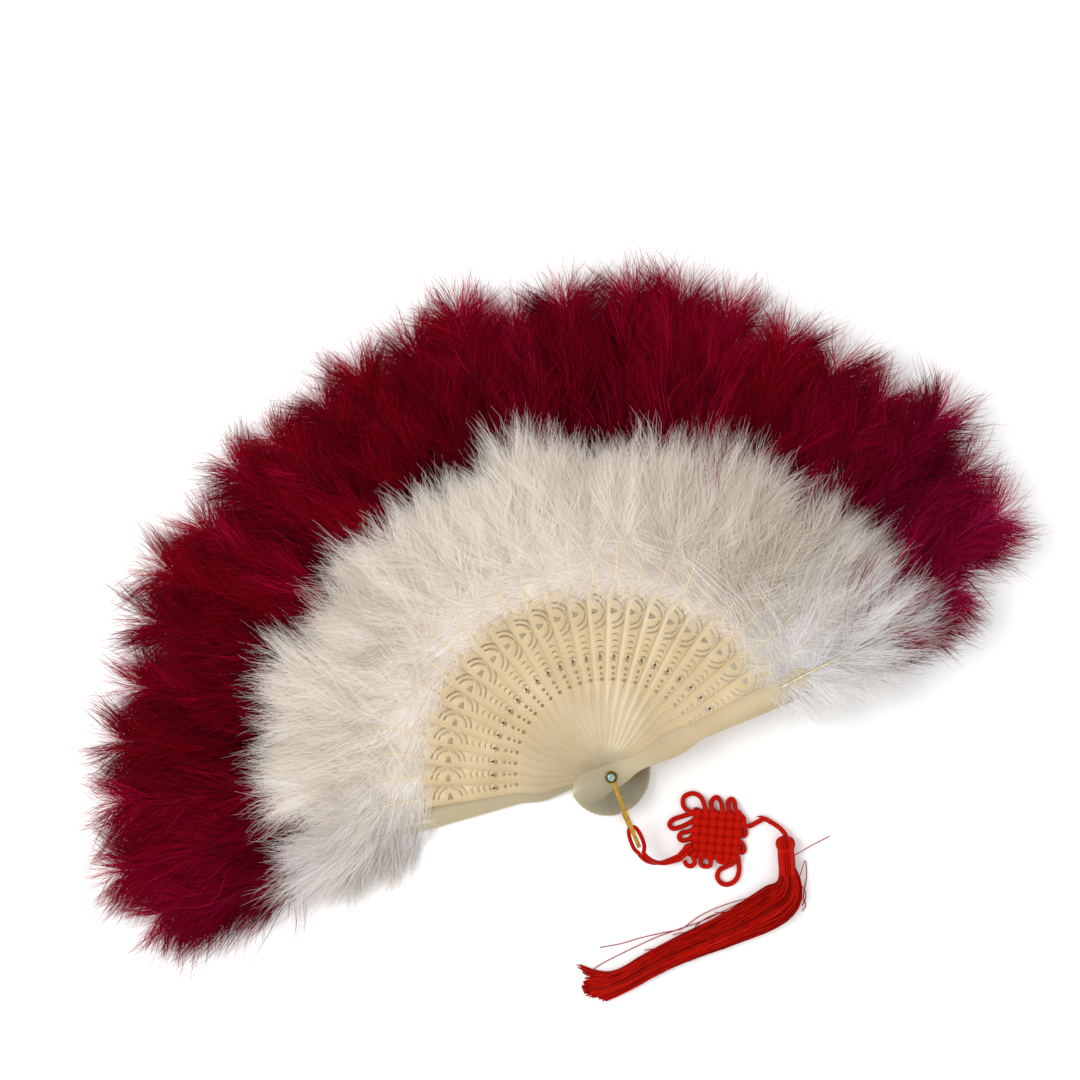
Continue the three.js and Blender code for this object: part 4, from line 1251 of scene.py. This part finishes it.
RIVET_PROFILE = [
    (0, 0), (2.6, 0), (2.92, 0.1), (3.0, 0.3), (3.0, 0.8), (2.85, 1.0), (1.25, 1.0), (1.25, 26.95),
    (1.8, 26.95), (1.9, 27.1), (1.85, 27.45), (1.6, 27.75), (1.3, 27.85), (0.95, 27.82), (0.75, 27.55),
    (0, 27.45),
]
WASHER_HOLE = 1.6
WASHER_EDGE = 2.9
WASHER_CROWN = 2.75
WASHER_FOOT = 2.8
WASHER_FOOT_RISE = 0.1
WASHER_CROWN_FALL = 0.12
EYELET_PROFILE = [
    (1.6, -0.4), (3.0, -0.4), (3.2, -0.2), (3.2, 0.2), (3.0, 0.4), (1.75, 0.4), (1.6, 0.25), (1.6, -0.4),
]
BAIL_LOW_Z = 1.52 * MM
BAIL_HIGH_Z = 25.91 * MM
BAIL_REACH = 39.2 * MM
BAIL_START = 2.4 * MM
BAIL_BOW = 1.3 * MM
BAIL_HALF_WIDTH = 1.0 * MM
BAIL_HALF_THICKNESS = 0.4 * MM
BAIL_CORNER = 0.15 * MM
BAIL_BEND_POINTS = 25
BAIL_LEG_POINTS = 8
EYELET_STEPS = 36


class FAN_OT_rivet(bpy.types.Operator):
    """Adds the rivet with its set end, and the washer under it"""

    bl_idname = "fan.rivet"
    bl_label = "Rivet"

    def execute(self, context):
        rivet = spun("rivet_set", RIVET_PROFILE, 0, TURNING_STEPS, material(rivet_steel))
        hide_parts("rivet")
        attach(rivet, "back_guard")
        low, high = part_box("washer")
        tall = (high.z - low.z) / MM
        profile = [
            (WASHER_HOLE, 0),
            (WASHER_FOOT, 0),
            (WASHER_EDGE, WASHER_FOOT_RISE),
            (WASHER_EDGE, tall - WASHER_CROWN_FALL),
            (WASHER_CROWN, tall),
            (WASHER_HOLE, tall),
            (WASHER_HOLE, 0),
        ]
        washer = spun("washer_turned", profile, low.z, TURNING_STEPS, material(dark_brass))
        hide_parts("washer")
        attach(washer, "back_guard")
        return {"FINISHED"}


def bail_line():
    """The strip's middle line: out over the stack, round the bend and back under it.

    The lower leg bows a little to the left, as the photographed one does."""
    middle, radius = (BAIL_LOW_Z + BAIL_HIGH_Z) / 2, (BAIL_HIGH_Z - BAIL_LOW_Z) / 2
    bend_at = radius - BAIL_REACH
    angles = np.linspace(0, math.pi, BAIL_BEND_POINTS)
    bend = [(0, bend_at - radius * math.sin(a), middle + radius * math.cos(a)) for a in angles]
    straight = np.linspace(-BAIL_START, bend_at, BAIL_LEG_POINTS)[:-1]
    over = [(0, y, BAIL_HIGH_Z) for y in straight]
    under = [(0, y, BAIL_LOW_Z) for y in straight[::-1]]
    line = np.array(over + bend + under)
    lower = np.clip((middle - line[:, 2]) / radius, 0, 1)
    share = np.clip((-BAIL_START - line[:, 1]) / (BAIL_REACH - BAIL_START), 0, 1)
    line[:, 0] -= BAIL_BOW * lower * np.sin(share * math.pi)
    return line


class FAN_OT_bail(bpy.types.Operator):
    """Adds the bent brass strip that carries the cord, with its eyelets"""

    bl_idname = "fan.bail"
    bl_label = "Bail"

    def execute(self, context):
        line = bail_line()
        across = np.tile([1.0, 0, 0], (len(line), 1))
        out = np.cross(tangents_of(line), across)
        flat = (BAIL_HALF_WIDTH - BAIL_CORNER, BAIL_HALF_THICKNESS)
        edge = (BAIL_HALF_WIDTH, BAIL_HALF_THICKNESS - BAIL_CORNER)
        quarter = np.array([edge, flat])
        section = np.vstack([quarter, quarter[::-1] * [-1, 1], -quarter, quarter[::-1] * [1, -1]])
        points = line[:, None] + across[:, None] * section[:, :1] + out[:, None] * section[:, 1:]
        i, j, k = between_rings(len(line), len(section))
        quads = np.column_stack([i, i, i + 1, i + 1]) * len(section) + np.column_stack([j, k, k, j])
        finish = material(brass)
        parts = [mesh_object("bail_strip", points.reshape(-1, 3), quads, finish, smooth=False)]
        for z in (BAIL_LOW_Z, BAIL_HIGH_Z):
            parts.append(spun("eyelet", EYELET_PROFILE, z, EYELET_STEPS, finish))
        bail = joined("bail_strip_bent", parts)
        select_only(bail)
        bpy.ops.object.mode_set(mode="EDIT")
        bpy.ops.mesh.select_all(action="SELECT")
        bpy.ops.mesh.normals_make_consistent(inside=False)
        bpy.ops.object.mode_set(mode="OBJECT")
        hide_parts("bail")
        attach(bail, "bail")
        return {"FINISHED"}


# The plumes

BARB_POINTS = 6
BACK_LEAN = math.radians(4.5)
FRONT_LEAN = math.radians(1.5)
PLUME_ROOT = 110 * MM
PLUME_REACH = 258 * MM
# How far the crimson plumes reach from the rivet, by blade, and how long the white ones grew
CRIMSON_REACHES = np.array([
    256, 272, 269, 268, 259, 262, 267, 255, 262, 257, 252, 254, 258,
    264, 249, 258, 259, 262, 258, 252, 249, 251, 264, 251, 250, 208,
]) * MM
WHITE_GROWTH_SHARES = [
    0.91, 0.62, 0.96, 0.93, 0.94, 1.09, 0.86, 0.84, 0.92, 0.87, 0.85, 0.84, 0.8,
    0.94, 0.87, 0.74, 0.74, 0.87, 0.8, 0.97, 0.93, 0.74, 0.99, 1.02, 0.97, 1.05,
]
# Where the white down is greyer: blade and the fall of its tone
WHITE_DULL_BLADES = [0, 1, 4, 15, 17, 19, 22, 24]
WHITE_DULL_FALLS = [0.14, 0.06, 0, 0, 0.18, 0.38, 0.38, 0]
# Past the sticks a plume sags towards these heights, or rises to them
WHITE_REST_Z = 16 * MM
CRIMSON_REST_Z = 9 * MM
DROP_START = 112 * MM
DROP_LENGTH = 120 * MM
HELD_SHARE = 0.5  # how much of its height over the others a plume from high in the stack keeps
FLUFF_FLOOR = 0.4 * MM
FLOOR_EASE = 1.5 * MM
FLUFF_TOP = 36 * MM
CURL_LENGTH = 140 * MM
CURL_SPREAD = 4 * MM
# Painted shade in the valleys between plumes: how far a barb's tone falls, over what reach across, from what
# share of it
VALLEY_SHADE_DEPTH = 0.35
VALLEY_SHADE_WIDTH = 20 * MM
VALLEY_SHADE_START = 0.35
QUILL_SIDE = 0.6 * MM
QUILL_TOP = 0.55 * MM
SMALL = 1e-12


class Layer(NamedTuple):
    """One layer of a plume's down. Lengths are in millimetres and angles in degrees."""

    locks: int
    barbs: int
    roots: tuple  # where on the quill, from the rivet
    lengths: tuple
    opening: tuple  # the angle from the quill at the root
    closing: tuple  # and at the tip
    rise: tuple  # how steeply it stands at the root, mean and spread
    fall: tuple  # and at the tip
    spread: tuple  # how far a lock's barbs lie apart across, out and up
    openness: tuple  # 0 for a lock drawn to a point, 1 for one that parts
    wave: float
    tone: float
    width: float = 1.0  # share of the usual barb width
    side: int = 0  # both sides of the quill, or only the one of that sign


def layers_of(rows):
    return [Layer(*entry) for entry in rows]


# The layers with one broad barb to a lock lie low under the rest; their lower tone is painted shade deep in
# the down
WHITE_LAYERS = layers_of([
    (60, 16, (95, 117), (8, 15), (60, 110), (30, 90), (5, 4), (0, 4), (1.5, 2.5, 0.4), (0.3, 1),
     1.2, 0.62, 0.9),
    (24, 22, (108, 128), (24, 38), (30, 72), (0, 35), (9, 7), (1, 7), (3.0, 3.0, 1.2), (0.1, 1), 2.4, 0.64),
    (34, 24, (122, 148), (28, 44), (20, 66), (-8, 34), (16, 10), (2, 9), (3.6, 3.2, 2.0), (0, 0.9),
     3.0, 0.62),
    (28, 24, (140, 158), (22, 38), (4, 54), (-14, 36), (15, 12), (0, 10), (3.4, 3.0, 2.0),
     (0, 0.7), 3.0, 0.5),
    (14, 3, (98, 135), (28, 46), (35, 125), (10, 100), (13, 6), (-3, 6), (2, 2, 1), (0.5, 1), 6.0, 0.9, 0.9),
    (70, 1, (100, 148), (22, 36), (10, 60), (0, 35), (-8, 6), (-6, 5), (3, 3, 0.5), (1, 1), 1.0, 0.45, 5.0),
])
# The layers with one broad barb to a lock lie low under the rest; their lower tone is painted shade deep in
# the down
CRIMSON_LAYERS = layers_of([
    (20, 22, (140, 172), (32, 50), (18, 55), (0, 30), (6, 8), (0, 7), (4.2, 4.0, 1.6), (0.2, 1), 2.4, 0.3),
    (38, 24, (165, 206), (30, 46), (22, 66), (-5, 40), (14, 11), (1, 9), (4.0, 3.6, 2.4), (0, 0.9), 3.2, 0.5),
    (52, 24, (194, 233), (20, 34), (14, 84), (0, 70), (11, 14), (0, 12), (3.8, 3.0, 2.2), (0, 0.9), 2.6, 0.6),
    (26, 5, (214, 238), (18, 28), (0, 66), (-18, 52), (8, 16), (2, 14), (2.0, 2.6, 1.6), (0, 0.8),
     3.0, 0.75, 0.7),
    (10, 3, (150, 215), (34, 52), (20, 75), (-25, 60), (16, 6), (-2, 6), (2, 2, 1), (0.5, 1), 6.0, 0.95, 0.9),
    (100, 1, (128, 198), (26, 38), (14, 66), (0, 45), (-12, 4), (-6, 4), (4, 4, 0.5), (1, 1), 1.0, 0.14, 6.0),
    (150, 1, (182, 228), (13, 23), (14, 92), (5, 80), (-4, 8), (-4, 6), (4, 3, 0.6), (1, 1), 1.0, 0.22, 3.6),
])
# Long barbs that lie across the neighbouring sticks
SIDEWAYS = layers_of([
    (4, 4, (112, 130), (42, 64), (112, 140), (104, 130), (24, 3), (0, 3), (2.4, 3.2, 0.8),
     (0.4, 1), 5.0, 0.98, 1.0, 1),
])
SIDEWAYS_PLUMES = (16, 18, 20)
# Fine down that lies back over the sticks' ends, thicker on the right
VEIL = layers_of([
    (6, 6, (94, 102), (8, 14), (105, 172), (100, 165), (12, 4), (1, 3), (3.0, 2.4, 0.5), (0.5, 1),
     1.8, 0.7, 0.7),
])
THICK_VEIL_FROM = 14
THICK_VEIL_LOCKS = 22
THICK_VEIL_LENGTHS = (9, 22)
# What hangs past a guard on its free side, and the tone of its white down
WHITE_SIDE = layers_of([
    (48, 24, (97, 145), (20, 33), (62, 112), (20, 78), (4, 7), (-2, 5), (3.4, 3.4, 1.8),
     (0.1, 0.9), 2.6, 0.75),
    (40, 1, (98, 140), (16, 23), (62, 105), (30, 75), (-4, 5), (-6, 5), (3, 3, 0.5), (1, 1), 1.0, 0.6, 4.0),
])
# Its layer of broad single barbs lies low, in a lower tone that is painted shade
CRIMSON_SIDE = layers_of([
    (24, 22, (160, 216), (16, 26), (48, 92), (10, 60), (3, 7), (-2, 5), (3.4, 3.4, 1.8), (0, 0.7), 2.6, 0.6),
    (20, 6, (165, 226), (26, 42), (60, 110), (30, 80), (3, 5), (-1, 4), (1.6, 2.0, 1.0), (0, 0.4),
     2.4, 0.75, 0.9),
    (16, 1, (160, 205), (13, 18), (48, 80), (20, 60), (-4, 5), (-6, 5), (3, 3, 0.5), (1, 1), 1.0, 0.14, 4.0),
])
SIDE_TONES = {0: 0.22, LAST_BLADE: 0.95}
# Clear of the back guard's down past its free side: the tassel, swung fully to the left, reaches there
TASSEL_CLEAR_ALONG = 104 * MM
TASSEL_CLEAR_ACROSS = 13 * MM
# How a barb differs from its lock's middle line
BARB_LENGTH_SHARES = (0.68, 1.08)
ROOT_HOLD = 0.15
BELLY_HOLD = 2.2
TIP_HOLD = 1.1
EASE_RATES = (1.2, 3.0)
WAVE_RATES = (0.4, 1.4)
WAVE_SHARES = (0.2, 1)
WAVE_HEIGHT_SHARE = 0.6
BARB_ROLL = math.radians(20)
BARB_WIDTH_SHARES = (0.6, 1.1)
TAPER_STATION_SHARES = [0, 0.6, 1]
TAPER_SHARES = [1, 0.85, 0.2]
PLUME_TONE = 0.1
PLUME_TONE_SPREAD = 0.07
LOCK_TONE_SPREAD = 0.15
BARB_TONE_SPREAD = 0.09
SHIFT_SPREAD = 0.12
# A barb's cell of the map: its margins and its size, as shares of the cell
CELL_SHAPE = 4
CELL_MARGIN_SHARES = (0.15, 0.05)
CELL_SIZE_SHARES = (0.7, 0.9)


def lean_of(index):
    place = 2 * index / LAST_BLADE - 1
    return (BACK_LEAN if place < 0 else FRONT_LEAN) * place**3


def free_side(layers, index):
    """The layers that hang past a guard, or none for a pierced stick."""
    side = {0: -1, LAST_BLADE: 1}.get(index)
    return [layer._replace(side=side) for layer in layers] if side else []


def inward(layers, index):
    """The same layers, but an end plume's broad single barbs only on its inner side."""
    side = {0: 1, LAST_BLADE: -1}.get(index, 0)
    return [layer._replace(side=side) if layer.barbs == 1 else layer for layer in layers]


def veil_of(index):
    """The fine down over the ends of a blade's neighbours."""
    if index < THICK_VEIL_FROM:
        return VEIL
    return [layer._replace(locks=THICK_VEIL_LOCKS, lengths=THICK_VEIL_LENGTHS) for layer in VEIL]


def smooth_step(x):
    x = np.clip(x, 0, 1)
    return x * x * (3 - 2 * x)


def lock_guides(rng, layer):
    """The middle lines of locks, as points across, out and up, for a plume that points along +Y."""
    count = layer.locks
    if layer.side:
        side = np.full(count, float(layer.side))
    else:
        side = np.where(np.arange(count) % 2, -1.0, 1.0)
    start = rng.uniform(*layer.roots, count) * MM
    length = rng.uniform(*layer.lengths, count) * MM
    first = side * np.radians(rng.uniform(*layer.opening, count))
    last = side * np.radians(rng.uniform(*layer.closing, count))
    lift = np.radians(rng.normal(*layer.rise, count))
    settle_to = np.radians(rng.normal(*layer.fall, count))
    steps = np.linspace(0, 1, BARB_POINTS)
    ease = np.exp(-steps * rng.uniform(*EASE_RATES, count)[:, None])
    angle = last[:, None] + (first - last)[:, None] * ease
    climb = settle_to[:, None] + (lift - settle_to)[:, None] * ease
    step = length[:, None] / (BARB_POINTS - 1)
    delta = [np.sin(angle) * np.cos(climb), np.cos(angle) * np.cos(climb), np.sin(climb)]
    path = np.cumsum(np.stack(delta, axis=-1) * step[..., None], axis=1)
    path -= path[:, :1]
    origin = np.stack([side * QUILL_SIDE, start, np.full(count, QUILL_TOP)], axis=-1)
    return origin[:, None] + path


def barbs_of(rng, layer):
    """The barbs of each lock: they start on the quill, stand apart, and draw to a point or part again."""
    guides = lock_guides(rng, layer)
    count = len(guides) * layer.barbs
    base = np.repeat(guides, layer.barbs, axis=0)
    steps = np.linspace(0, 1, BARB_POINTS)
    place = steps[None] * rng.uniform(*BARB_LENGTH_SHARES, count)[:, None] * (BARB_POINTS - 1)
    low = np.clip(np.floor(place).astype(int), 0, BARB_POINTS - 2)
    share = (place - low)[..., None]
    rows = np.arange(count)[:, None]
    line = base[rows, low] * (1 - share) + base[rows, low + 1] * share
    openness = np.repeat(rng.uniform(*layer.openness, layer.locks), layer.barbs)[:, None]
    drawn = (1 - openness) * BELLY_HOLD * steps * (1 - steps)
    held = ROOT_HOLD + drawn + openness * TIP_HOLD * steps
    offset = rng.normal(0, 1, (count, 3)) * np.array(layer.spread) * MM
    line[..., 0] += offset[:, :1] * held
    line[..., 1] += offset[:, 1:2]
    line[..., 2] += offset[:, 2:] * held
    phase = rng.uniform(0, FULL_TURN, (count, 1, 2))
    rate = rng.uniform(*WAVE_RATES, (count, 1, 2)) * FULL_TURN
    size = rng.uniform(*WAVE_SHARES, (count, 1, 2)) * layer.wave * MM
    along = steps[None, :, None]
    waver = (np.sin(rate * along + phase) - np.sin(phase)) * size * along
    line[..., 0] += waver[..., 0]
    line[..., 2] += waver[..., 1] * WAVE_HEIGHT_SHARE
    return line


def barb_cells(count, points):
    """The places of each barb's points in its own cell of the map."""
    columns = int(math.ceil(math.sqrt(count * CELL_SHAPE)))
    rows = int(math.ceil(count / columns))
    cell = np.arange(count)
    (left, foot), (wide, tall) = CELL_MARGIN_SHARES, CELL_SIZE_SHARES
    u0 = np.repeat(((cell % columns + left) / columns)[:, None], points, axis=1)
    v0 = ((cell // columns + foot) / rows)[:, None, None]
    u = np.stack([u0, u0 + wide / columns], axis=2)
    v = v0 + tall / rows * np.linspace(0, 1, points)[None, :, None] * np.ones((1, 1, 2))
    return np.stack([u, v], axis=-1).reshape(-1, 2)


def ribbons(name, lines, widths, tints, shift, rng, finish):
    """Thin flat barbs in one mesh, each with its own cell of the map and its own tone."""
    count, points, _ = lines.shape
    t = np.gradient(lines, axis=1)
    t /= np.linalg.norm(t, axis=2)[..., None] + SMALL
    roll = rng.normal(0, BARB_ROLL, count)[:, None, None]
    level = np.cross(t, UP)
    level /= np.linalg.norm(level, axis=2)[..., None] + SMALL
    across = level * np.cos(roll) + np.cross(level, t) * np.sin(roll)
    taper = np.interp(np.linspace(0, 1, points), TAPER_STATION_SHARES, TAPER_SHARES)
    half = (widths[:, None] * taper[None] / 2)[..., None]
    vertices = np.stack([lines - across * half, lines + across * half], axis=2).reshape(-1, 3)
    base = (np.arange(count)[:, None] * points * 2 + np.arange(points - 1)[None] * 2).ravel()
    quads = np.column_stack([base, base + 1, base + 3, base + 2])
    maps = [("OFBake", barb_cells(count, points)[quads])]
    made = mesh_object(name, vertices, quads, finish, maps=maps)
    mesh = made.data
    point_attribute(mesh, "tint", np.repeat(tints, points * 2))
    point_attribute(mesh, "shift", np.repeat(shift, points * 2))
    point_attribute(mesh, "along", np.tile(np.repeat(np.linspace(0, 1, points), 2), count))
    return made


def settle(lines, index, rest_z, curl, stretch):
    """Bends a plume out of its blade's level to its height past the sticks, and keeps it off the table."""
    z0 = blade_z(index)
    rest_z += HELD_SHARE * max(z0 - rest_z, 0)
    past = np.maximum(lines[..., 1] - PLUME_ROOT, 0)
    lines[..., 1] += past * (stretch - 1)
    lines[..., 0] += math.tan(lean_of(index)) * past + curl * (past / CURL_LENGTH) ** 2
    drop = smooth_step((lines[..., 1] - DROP_START) / DROP_LENGTH)
    lines[..., 2] += z0 + (rest_z - z0) * drop
    lines[..., 2] = FLUFF_FLOOR + np.logaddexp(0, (lines[..., 2] - FLUFF_FLOOR) / FLOOR_EASE) * FLOOR_EASE
    lines[..., 2] = np.minimum(lines[..., 2], FLUFF_TOP)
    return on_blade(lines, index)


def feather(name, index, seed, layers, finish, shift, rest_z, stretch, width):
    """One plume's down, from its layers of locks."""
    rng = np.random.default_rng(seed)
    curl = rng.normal(0, CURL_SPREAD)
    plume_tone = PLUME_TONE + rng.normal(0, PLUME_TONE_SPREAD)
    every, tints, widths = [], [], []
    for layer in layers:
        lines = barbs_of(rng, layer)
        every.append(lines)
        lock_tones = rng.normal(layer.tone + plume_tone, LOCK_TONE_SPREAD, layer.locks)
        # Painted shade: barbs whose tips reach far across, into the valleys between plumes, get a darker tone
        valley_shade = VALLEY_SHADE_DEPTH * np.clip(np.abs(lines[:, -1, 0]) / VALLEY_SHADE_WIDTH - VALLEY_SHADE_START, 0, 1)
        tones = np.repeat(lock_tones, layer.barbs) - valley_shade + rng.normal(0, BARB_TONE_SPREAD, len(lines))
        tints.append(np.clip(tones, 0, 1))
        widths.append(rng.uniform(*BARB_WIDTH_SHARES, len(lines)) * width * layer.width)
    lines, tints, widths = np.concatenate(every), np.concatenate(tints), np.concatenate(widths)
    if index == 0:
        reached = (lines[..., 0] < -TASSEL_CLEAR_ACROSS) & (lines[..., 1] < TASSEL_CLEAR_ALONG)
        clear = ~reached.any(axis=1)
        lines, tints, widths = lines[clear], tints[clear], widths[clear]
    lines = settle(lines, index, rest_z, curl, stretch)
    shifts = np.clip(shift + rng.normal(0, SHIFT_SPREAD, len(lines)), 0, 1)
    return ribbons(name, lines, widths, tints, shifts, rng, finish)


QUILL_SEED = 900
QUILL_END = 166 * MM
QUILL_POINTS = 18
QUILL_SIDES = 10
QUILL_WAVER = 2 * MM
QUILL_LEVEL = 0.5 * MM
QUILL_CLIMBS = np.array([-0.6, 3.6]) * MM
FRONT_QUILL_LEVEL = 1.25 * MM
FRONT_QUILL_CLIMB = 3.6 * MM
QUILL_CLIMB_POWER = 1.5
QUILL_WIDTH_SHARES = (0.6, 1)
QUILL_TAPER_SHARE = 0.7
QUILL_HALF_HEIGHT = 0.33 * MM


class FAN_OT_quills(bpy.types.Operator):
    """Adds the bare quill of each blade's plume"""

    bl_idname = "fan.quills"
    bl_label = "Quills"

    def execute(self, context):
        width = context.scene.fan_plumes.quill_width
        out = np.linspace(QUILL_START, QUILL_END, QUILL_POINTS)
        share = np.linspace(0, 1, QUILL_POINTS)
        past = np.maximum(out - PLUME_ROOT, 0)
        for index in range(LAST_BLADE + 1):
            rng = np.random.default_rng(QUILL_SEED + index)
            across = rng.normal(0, QUILL_WAVER) * share**2 + math.tan(lean_of(index)) * past
            level, climb = FRONT_QUILL_LEVEL, FRONT_QUILL_CLIMB
            if index < LAST_BLADE:
                level, climb = QUILL_LEVEL, rng.uniform(*QUILL_CLIMBS)
            z = blade_z(index) + level + climb * share**QUILL_CLIMB_POWER
            half = width / 2 * rng.uniform(*QUILL_WIDTH_SHARES) * (1 - QUILL_TAPER_SHARE * share)
            high = np.minimum(half, QUILL_HALF_HEIGHT)
            line = on_blade(np.column_stack([across, out, z]), index)
            finish = material(quill_keratin)
            quill = tubes(f"quill_{index:02d}", [line], half, high, QUILL_SIDES, finish)
            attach(quill, blade_name(index))
            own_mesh(quill)
        return {"FINISHED"}


WHITE_SEED = 100
COOL_WHITE_FROM = 21
COOL_WHITE_BLADES = 4
COOL_WHITE_SHIFT = 0.85
COOL_END_BLADES = 2
COOL_END_SHIFT = 0.65
LEAST_SHIFT = 0.1


class FAN_OT_white_plumes(bpy.types.Operator):
    """Adds the short white plume of each blade"""

    bl_idname = "fan.white_plumes"
    bl_label = "White plumes"

    def execute(self, context):
        width = context.scene.fan_plumes.barb_width
        for index in range(LAST_BLADE + 1):
            right = float(smooth_step((index - COOL_WHITE_FROM) / COOL_WHITE_BLADES))
            left = float(smooth_step((COOL_END_BLADES - index) / COOL_END_BLADES))
            shift = max(LEAST_SHIFT, COOL_WHITE_SHIFT * right, COOL_END_SHIFT * left)
            dull = float(np.interp(index, WHITE_DULL_BLADES, WHITE_DULL_FALLS))
            layers = [layer._replace(tone=layer.tone - dull) for layer in WHITE_LAYERS]
            layers += [layer._replace(tone=SIDE_TONES[index]) for layer in free_side(WHITE_SIDE, index)]
            layers += SIDEWAYS if index in SIDEWAYS_PLUMES else []
            layers += veil_of(index)
            made = feather(
                f"plume_{index:02d}_white", index, WHITE_SEED + index, layers, material(white_marabou),
                shift, WHITE_REST_Z, WHITE_GROWTH_SHARES[index], width,
            )
            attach(made, blade_name(index))
            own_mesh(made)
        return {"FINISHED"}


CRIMSON_SEED = 500
CRIMSON_SHIFT_SEED = 300
PURPLE_FROM = 17
PURPLE_BLADES = 7
PURPLE_SHIFT = 0.85
PURPLE_END_BLADES = 3
PURPLE_END_SHIFT = 0.5
PURPLE_SPREAD = 0.2


class FAN_OT_crimson_plumes(bpy.types.Operator):
    """Adds the long crimson plume of each blade"""

    bl_idname = "fan.crimson_plumes"
    bl_label = "Crimson plumes"

    def execute(self, context):
        width = context.scene.fan_plumes.barb_width
        for index in range(LAST_BLADE + 1):
            rng = np.random.default_rng(CRIMSON_SHIFT_SEED + index)
            right = float(smooth_step((index - PURPLE_FROM) / PURPLE_BLADES))
            left = float(smooth_step((PURPLE_END_BLADES - index) / PURPLE_END_BLADES))
            least = LEAST_SHIFT + PURPLE_SPREAD * rng.random()
            shift = max(least, PURPLE_SHIFT * right, PURPLE_END_SHIFT * left)
            stretch = (CRIMSON_REACHES[index] - PLUME_ROOT) / (PLUME_REACH - PLUME_ROOT)
            layers = inward(CRIMSON_LAYERS, index)
            layers += free_side(CRIMSON_SIDE, index) if index == 0 else []
            made = feather(
                f"plume_{index:02d}_crimson", index, CRIMSON_SEED + index, layers,
                material(crimson_marabou), shift, CRIMSON_REST_Z, stretch, width,
            )
            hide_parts(f"plume_{index:02d}")
            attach(made, blade_name(index))
            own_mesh(made)
        return {"FINISHED"}


class FAN_PT_panel(bpy.types.Panel):
    """Lists the fan's pieces and their settings"""

    bl_idname = "FAN_PT_panel"
    bl_label = "Feather fan"
    bl_space_type = "VIEW_3D"
    bl_region_type = "UI"
    bl_category = "Fan"

    def draw(self, context):
        for group in GROUPS:
            settings = getattr(context.scene, group)
            for name in settings.__annotations__:
                self.layout.prop(settings, name)
        for operator in OPERATORS:
            self.layout.operator(operator.bl_idname)


OPERATORS = [
    FAN_OT_stage,
    FAN_OT_cords,
    FAN_OT_knot,
    FAN_OT_tassel,
    FAN_OT_blades,
    FAN_OT_rivet,
    FAN_OT_bail,
    FAN_OT_quills,
    FAN_OT_white_plumes,
    FAN_OT_crimson_plumes,
]
GROUPS = {"fan_stage": FanStageSettings, "fan_cords": FanCordSettings, "fan_plumes": FanPlumeSettings}
CLASSES = [*GROUPS.values(), *OPERATORS, FAN_PT_panel]


def register():
    for cls in CLASSES:
        bpy.utils.register_class(cls)
    for name, group in GROUPS.items():
        setattr(bpy.types.Scene, name, bpy.props.PointerProperty(type=group))


def unregister():
    for name in GROUPS:
        delattr(bpy.types.Scene, name)
    for cls in reversed(CLASSES):
        bpy.utils.unregister_class(cls)


def main():
    register()
    for operator in OPERATORS:
        family, name = operator.bl_idname.split(".")
        getattr(getattr(bpy.ops, family), name)()


if __name__ == "__main__":
    main()
